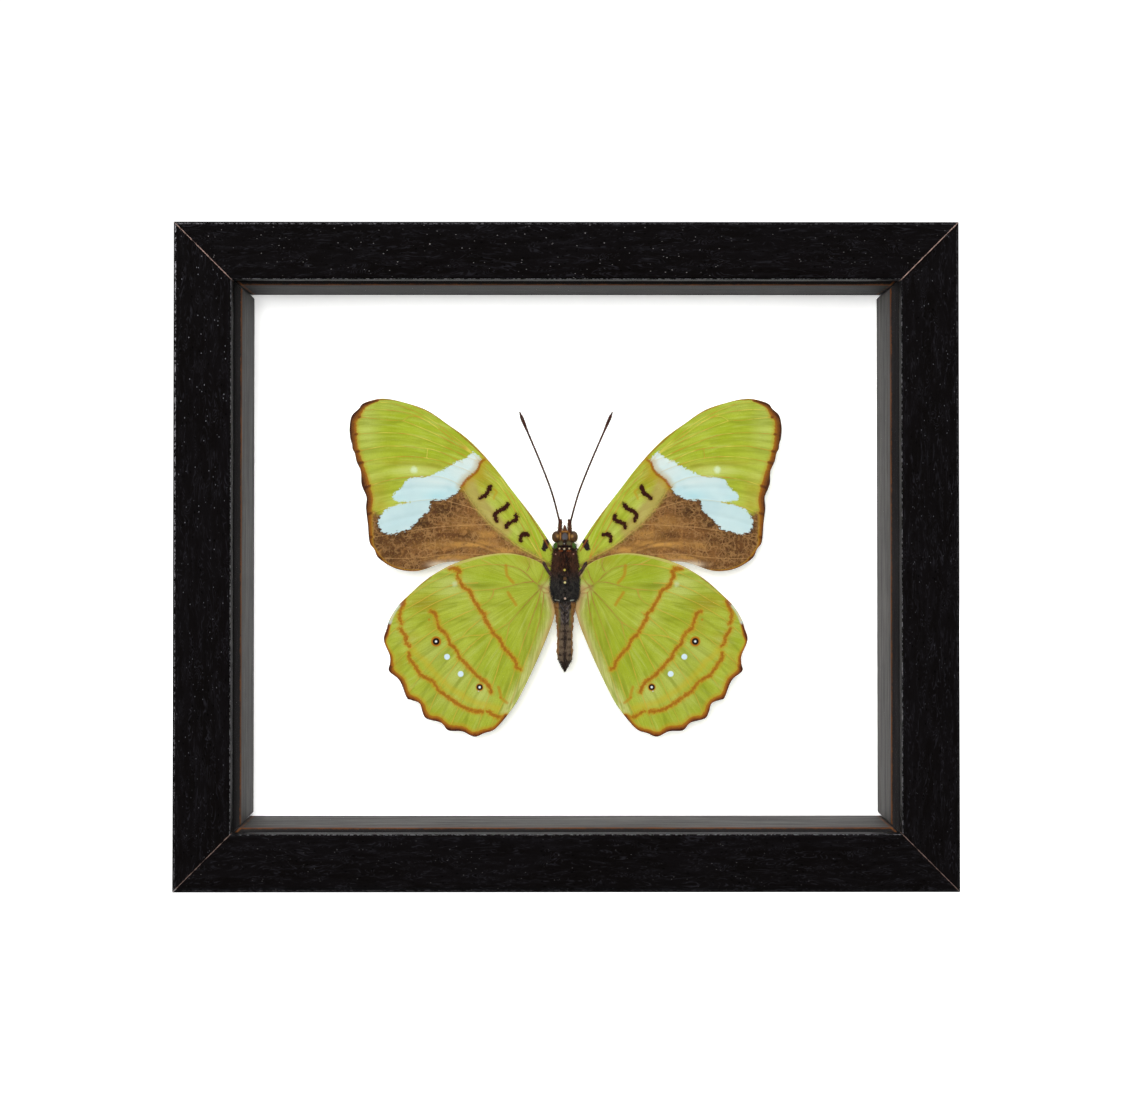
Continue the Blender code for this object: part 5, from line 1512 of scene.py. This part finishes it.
class SPECIMEN_OT_rails(bpy.types.Operator):
    """Build the four rails of the black moulding"""
    bl_idname = "specimen.rails"
    bl_label = "Rails"

    def execute(self, context):
        box = context.scene.specimen_box
        section = eased_corner((OUTER_ROUND, BOX_FRONT + OUTER_ROUND), OUTER_ROUND, 180, 270, 8)
        section += [(share * FACE_WIDTH, BOX_FRONT) for share in (0.3, 0.5, 0.7)]
        section += eased_corner((FACE_WIDTH - INNER_ROUND, BOX_FRONT + INNER_ROUND), INNER_ROUND, 270, 360, 7)
        lip = BOX_FRONT + LIP_DEPTH
        section += [(FACE_WIDTH, lip - 0.1), (FACE_WIDTH - 0.1, lip), (WALL_WIDTH, lip),
                    (WALL_WIDTH, BOX_BACK - 0.15), (WALL_WIDTH - 0.15, BOX_BACK), (0.3, BOX_BACK),
                    (0.09, BOX_BACK - 0.09), (0.0, BOX_BACK - 0.3)]
        # The upright rails get a bluish painted sheen in their flecks, and the level rails a neutral one.
        upright = wood_finish("black_wood_upright", 'Z', tuple(box.wood), tint(150, 150, 158),
                              tuple(box.bare_wood))
        level = wood_finish("black_wood_level", 'X', tuple(box.wood), tint(146, 142, 142),
                            tuple(box.bare_wood))
        for side in ("left", "right", "bottom", "top"):
            finish = upright if side in ("left", "right") else level
            mitred_strip("moulding_" + side, section, side, box, finish, "rail_" + side)
        return {'FINISHED'}


class SPECIMEN_OT_liners(bpy.types.Operator):
    """Build the four thin strips that line the box"""
    bl_idname = "specimen.liners"
    bl_label = "Liners"

    def execute(self, context):
        box = context.scene.specimen_box
        # The share of painted shade on each strip: most on the top strip, which faces down, less on the left,
        # least on the right and the bottom.
        for side, along, shade in (("left", 'Z', 0.4), ("right", 'Z', 0.2), ("bottom", 'X', 0.2),
                                   ("top", 'X', 0.9)):
            finish = liner_finish("liner_stain_shaded_" + side, along, shade)
            sight = (BOX_HALF_WIDTH - LINER_SIDE_SIGHT if side in ("left", "right")
                     else BOX_MIDDLE - LINER_END_SIGHT)
            section = [(LINER_OUTER, LINER_FRONT)]
            section += eased_corner((sight - LINER_ROUND, LINER_FRONT + LINER_ROUND), LINER_ROUND, 270,
                                    360, 6)
            section += [(sight, LINER_FRONT + share) for share in (3.0, 7.0, 12.0)]
            section += [(sight, LINER_BACK), (LINER_OUTER, LINER_BACK)]
            mitred_strip("liner_strip_" + side, section, side, box, finish, "liner_" + side)
        return {'FINISHED'}


class SPECIMEN_OT_layers(bpy.types.Operator):
    """Finish the glass, the white board and the back panel"""
    bl_idname = "specimen.layers"
    bl_label = "Glass, board and back panel"

    def execute(self, context):
        refined("back_panel", panel_finish("brown_panel_face"), 0.25 * MM)
        for node, finish in (("glass_pane", glass_finish("clear_glass")),
                             ("mount_board", board_finish("white_board_face"))):
            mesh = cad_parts[node].data
            mesh.materials.clear()
            mesh.materials.append(finish)
        return {'FINISHED'}


class SPECIMEN_OT_fittings(bpy.types.Operator):
    """Finish the tabs, the hanger with its rivets, and the pin"""
    bl_idname = "specimen.fittings"
    bl_label = "Back fittings and pin"

    def execute(self, context):
        tab = metal_finish("zinc_tabs", tint(186, 188, 192), tint(132, 132, 136), 0.30)
        for place in ("top_left", "top_right", "bottom_left", "bottom_right", "left", "right"):
            refined("tab_" + place, tab, 0.12 * MM)
        brass = metal_finish("brassed_hanger", tint(206, 186, 132), tint(150, 124, 84), 0.28)
        refined("hanger_strip", brass, 0.12 * MM)
        steel = metal_finish("rivet_heads", tint(196, 196, 198), tint(140, 138, 138), 0.26)
        for node in ("rivet_left", "rivet_right"):
            refined(node, steel, 0.1 * MM, 50.0)
        pin = metal_finish("black_pin", tint(70, 70, 74), tint(40, 40, 44), 0.3)
        refined("mounting_pin", pin, 0.05 * MM, 50.0)
        return {'FINISHED'}


class SPECIMEN_OT_forewings(bpy.types.Operator):
    """Build both forewings with their veins and markings"""
    bl_idname = "specimen.forewings"
    bl_label = "Forewings"

    def execute(self, context):
        wings = context.scene.specimen_wings
        shape = WingShape(FOREWING, FOREWING_LEVEL, FOREWING_VEINS, FOREWING_FOLDS, wings.cell / MM,
                          wings.vein_height / MM, wings.fold_depth / MM)
        marks = traced(FOREWING_MARKS)
        shape.rays(2.6, -1.6, VEIN_BEND)
        shape.area("band", marks["band"])
        shape.area("brown", marks["brown"])
        shape.border("outer", marks["outer"], FOREWING_BORDER)
        shape.lines(marks, FOREWING_LINES)
        shape.dots(FOREWING_DOTS)
        shape.patches(FOREWING_PATCHES)
        shape.pieces("forewing", forewing_finish("forewing_scales", greens_of(wings)))
        return {'FINISHED'}


class SPECIMEN_OT_hindwings(bpy.types.Operator):
    """Build both hindwings with their veins and markings"""
    bl_idname = "specimen.hindwings"
    bl_label = "Hindwings"

    def execute(self, context):
        wings = context.scene.specimen_wings
        shape = WingShape(HINDWING, HINDWING_LEVEL, HINDWING_VEINS, HINDWING_FOLDS, wings.cell / MM,
                          wings.vein_height / MM, wings.fold_depth / MM)
        marks = traced(HINDWING_MARKS)
        shape.rays(4.25, -5.4)
        shape.border("outer", marks["outer"], HINDWING_BORDER)
        shape.lines(marks, HINDWING_LINES)
        shape.dots(HINDWING_DOTS)
        shape.patches(HINDWING_PATCHES)
        shape.pieces("hindwing", hindwing_finish("hindwing_scales", greens_of(wings, 0.9)))
        return {'FINISHED'}


class SPECIMEN_OT_body(bpy.types.Operator):
    """Build the head, eyes, thorax, abdomen and palps, and their fur"""
    bl_idname = "specimen.body"
    bl_label = "Body"

    def execute(self, context):
        body = context.scene.specimen_body
        fur = fur_finish("body_fur")
        hull = abdomen_finish("abdomen_hull")
        rings = [(up, max(wide, 0.0), max(wide, 0.0) * 1.12, BODY_LEVEL)
                 for up, wide in smooth_line(THORAX, 6)]
        thorax = lathe("thorax_hull", rings, 64, fur, "thorax", 0.05, 0.4)
        rings = []
        for up, wide in smooth_line(ABDOMEN, 14):
            phase = ((ABDOMEN[0][0] - up) / SEGMENT_PITCH) % 1.0
            swell = 0.97 + 0.1 * math.sin(math.pi * phase)
            rings.append((up, max(wide, 0.0) * swell, max(wide, 0.0) * swell, BODY_LEVEL))
        abdomen = lathe("abdomen_rings", rings, 56, hull, "abdomen", 0.03, 1.9)
        head = ball("head_hull", (BODY_OUT, BODY_LEVEL, BOX_MIDDLE + 3.1), (1.2, 1.3, 1.3), fur,
                    "head", 5)
        eyes = eye_finish("compound_eyes")
        for side, across in (("left", -1.48), ("right", 1.48)):
            ball("eye_" + side, (BODY_OUT + across, BODY_LEVEL - 0.45, BOX_MIDDLE + 3.18),
                 (0.74, 0.9, 0.98), eyes, None, 5)
        scaly = horn_finish("palp_scales", tint(66, 36, 20), tint(112, 64, 34), 0.5)
        root = horn_finish("wing_root_horn", tint(50, 32, 28), tint(90, 60, 48), 1.1)
        plan = hair_plan()
        for side, turn in SIDES:
            palp = tube("palp_core_" + side, PALP, [0.32, 0.33, 0.3, 0.24, 0.12], turn, 16, scaly,
                        "palp_" + side)
            set_field(palp.data, "fur", np.ones(len(palp.data.vertices)))
            plan.grow("palp_fur_" + side, palp, "palp_brown", Density=60.0e6, Length=0.3 * MM,
                      Thickness=0.03 * MM, Comb=(0.0, -0.1, 1.8), Spread=0.3, Seed=3, Material=scaly)
            tube("wing_root_" + side, WING_ROOT, [0.16, 0.3, 0.26, 0.3, 0.22], turn, 16, root)
        tube("face_tuft", FACE_TUFT, [0.34, 0.28, 0.1], 1.0, 16, scaly)
        for name, source, length, comb, density, seed, finish, slot in (
                ("thorax_fur", thorax, 1.0, (0.0, -0.1, -1.3), 1.0, 7, fur, "thorax_brown"),
                ("abdomen_fur", abdomen, 0.42, (0.0, 0.0, -1.7), 0.9, 8, hull, "abdomen_grey"),
                ("head_fur", head, 0.4, (0.0, -0.2, 0.5), 0.8, 9, fur, "head_brown")):
            level = np.array([vertex.co.y for vertex in source.data.vertices]) / MM
            set_field(source.data, "fur", np.where(level < BODY_LEVEL + 1.2, 1.0, 0.15))
            plan.grow(name, source, slot, Density=body.hair_density * density,
                      Length=body.hair_length * length, Thickness=body.hair_thickness, Comb=comb,
                      Spread=0.55, Seed=seed, Material=finish)
        return {'FINISHED'}


class SPECIMEN_OT_limbs(bpy.types.Operator):
    """Build the antennae from their joints and finish the legs"""
    bl_idname = "specimen.limbs"
    bl_label = "Antennae and legs"

    def execute(self, context):
        body = context.scene.specimen_body
        horn = horn_finish("antenna_horn", tint(48, 18, 11), tint(80, 36, 22), 0.33)
        shin = horn_finish("leg_horn", tint(70, 48, 32), tint(112, 84, 56), 0.8)
        plan = joint_plan()
        for side, turn in SIDES:
            line = smooth_line(ANTENNA, 8)
            share = np.linspace(0.0, 1.0, len(line))
            points = np.stack([turn * line[:, 0] + BODY_OUT * (1.0 - share), line[:, 2],
                               BOX_MIDDLE + line[:, 1]], axis=1) * MM
            path = bpy.data.meshes.new("antenna_path")
            path.from_pydata(points.tolist(), [(index, index + 1) for index in range(len(points) - 1)], [])
            carrier = bpy.data.objects.new("antenna_path", path)
            context.scene.collection.objects.link(carrier)
            length = np.linalg.norm(np.diff(points, axis=0), axis=1).sum()
            antenna = plan.grow("antenna_joints_" + side, carrier, "antenna_brown",
                                Joints=body.antenna_joints, Pitch=1.04 * length / body.antenna_joints,
                                Shaft=0.165 * MM, Club=0.29 * MM, Club_Start=0.8, Material=horn)
            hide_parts("antenna_" + side)
            bpy.data.objects.remove(carrier)
            for leg in ("leg_mid_", "leg_hind_"):
                folded = refined(leg + side, shin, 0.0)
                fold = Matrix.Diagonal((0.55, 1.0, 1.0, 1.0))
                fold.translation.x = 0.45 * BODY_OUT * MM
                folded.data.transform(fold)
        return {'FINISHED'}


class SPECIMEN_OT_stage(bpy.types.Operator):
    """Lay the white floor and place the lights and the camera"""
    bl_idname = "specimen.stage"
    bl_label = "Stage"

    def execute(self, context):
        stage = context.scene.specimen_stage
        mesh = bpy.data.meshes.new("studio_floor")
        reach = 3.0
        mesh.from_pydata([(-reach, -reach, 0), (reach, -reach, 0), (reach, reach, 0), (-reach, reach, 0)], [],
                         [(0, 1, 2, 3)])
        floor = bpy.data.objects.new("studio_floor", mesh)
        context.scene.collection.objects.link(floor)
        white = Finish("studio_white", Roughness=0.9, Specular_IOR_Level=0.0, Base_Color=(0.9, 0.9, 0.9, 1.0),
                       Emission_Color=(1.0, 1.0, 1.0, 1.0), Emission_Strength=1.0)
        floor.visible_diffuse = False
        floor.visible_glossy = False
        mesh.materials.append(white.material)

        world = bpy.data.worlds.new("white_studio")
        context.scene.world = world
        world.use_nodes = True
        nodes, links = world.node_tree.nodes, world.node_tree.links
        seen = nodes.new("ShaderNodeLightPath")
        mixed = nodes.new("ShaderNodeMapRange")
        mixed.inputs["To Min"].default_value = stage.surround
        mixed.inputs["To Max"].default_value = 1.1
        links.new(seen.outputs["Is Camera Ray"], mixed.inputs["Value"])
        nodes["Background"].inputs["Color"].default_value = (1.0, 1.0, 1.0, 1.0)
        links.new(mixed.outputs[0], nodes["Background"].inputs["Strength"])

        aim = Vector((0.0, 0.0, BOX_MIDDLE * MM))
        for name, power, spot, size, glossy in (
                ("front_light", stage.front, (-0.07, -1.1, 0.17), 0.26, False),
                ("top_light", stage.top, (-0.1, -0.8, 0.9), 0.5, True),
                ("left_light", stage.left, (-0.75, -1.0, 0.25), 0.5, True),
                ("right_light", stage.right, (0.75, -1.0, 0.25), 0.5, True),
                ("back_light", stage.back, (0.4, 1.2, 0.8), 0.6, True)):
            light = bpy.data.lights.new(name, 'AREA')
            light.energy = power
            light.size = size
            lamp = bpy.data.objects.new(name, light)
            lamp.visible_glossy = glossy
            lamp.location = spot
            lamp.rotation_euler = (aim - Vector(spot)).to_track_quat('-Z', 'Y').to_euler()
            context.scene.collection.objects.link(lamp)

        lens = bpy.data.cameras.new("photo_camera")
        lens.sensor_fit = 'HORIZONTAL'
        lens.sensor_width = SENSOR_WIDTH
        lens.lens = FOCAL_COLUMNS / PHOTO_COLUMNS * SENSOR_WIDTH
        lens.shift_y = -(PHOTO_MIDDLE_ROW - AXIS_ROW) / PHOTO_COLUMNS
        lens.clip_start = 0.01
        camera = bpy.data.objects.new("photo_camera", lens)
        camera.location = (-0.00229, -0.442, 0.06005)
        camera.rotation_euler = (math.radians(90.957), 0.0, math.radians(-0.254))
        context.scene.collection.objects.link(camera)
        context.scene.camera = camera
        context.scene.view_settings.view_transform = 'Standard'
        return {'FINISHED'}


OPERATORS = (SPECIMEN_OT_rails, SPECIMEN_OT_liners, SPECIMEN_OT_layers, SPECIMEN_OT_fittings,
             SPECIMEN_OT_forewings, SPECIMEN_OT_hindwings, SPECIMEN_OT_body, SPECIMEN_OT_limbs,
             SPECIMEN_OT_stage)


class SPECIMEN_PT_panel(bpy.types.Panel):
    """Sizes, colours and steps of the specimen"""
    bl_idname = "SPECIMEN_PT_panel"
    bl_label = "Framed butterfly specimen"
    bl_space_type = 'VIEW_3D'
    bl_region_type = 'UI'
    bl_category = "Specimen"

    def draw(self, context):
        scene = context.scene
        for settings in (scene.specimen_box, scene.specimen_wings, scene.specimen_body, scene.specimen_stage):
            column = self.layout.column(align=True)
            for name in type(settings).__annotations__:
                column.prop(settings, name)
        for operator in OPERATORS:
            self.layout.operator(operator.bl_idname)


SETTINGS = {"specimen_box": BoxSettings, "specimen_wings": WingSettings, "specimen_body": BodySettings,
            "specimen_stage": StageSettings}
CLASSES = (*SETTINGS.values(), *OPERATORS, SPECIMEN_PT_panel)


def register():
    for kind in CLASSES:
        bpy.utils.register_class(kind)
    for name, kind in SETTINGS.items():
        setattr(bpy.types.Scene, name, bpy.props.PointerProperty(type=kind))


def unregister():
    for name in SETTINGS:
        delattr(bpy.types.Scene, name)
    for kind in reversed(CLASSES):
        bpy.utils.unregister_class(kind)


def main():
    """Build every piece in order."""
    register()
    for operator in OPERATORS:
        group, step = operator.bl_idname.split(".")
        getattr(getattr(bpy.ops, group), step)()


if __name__ == "__main__":
    main()
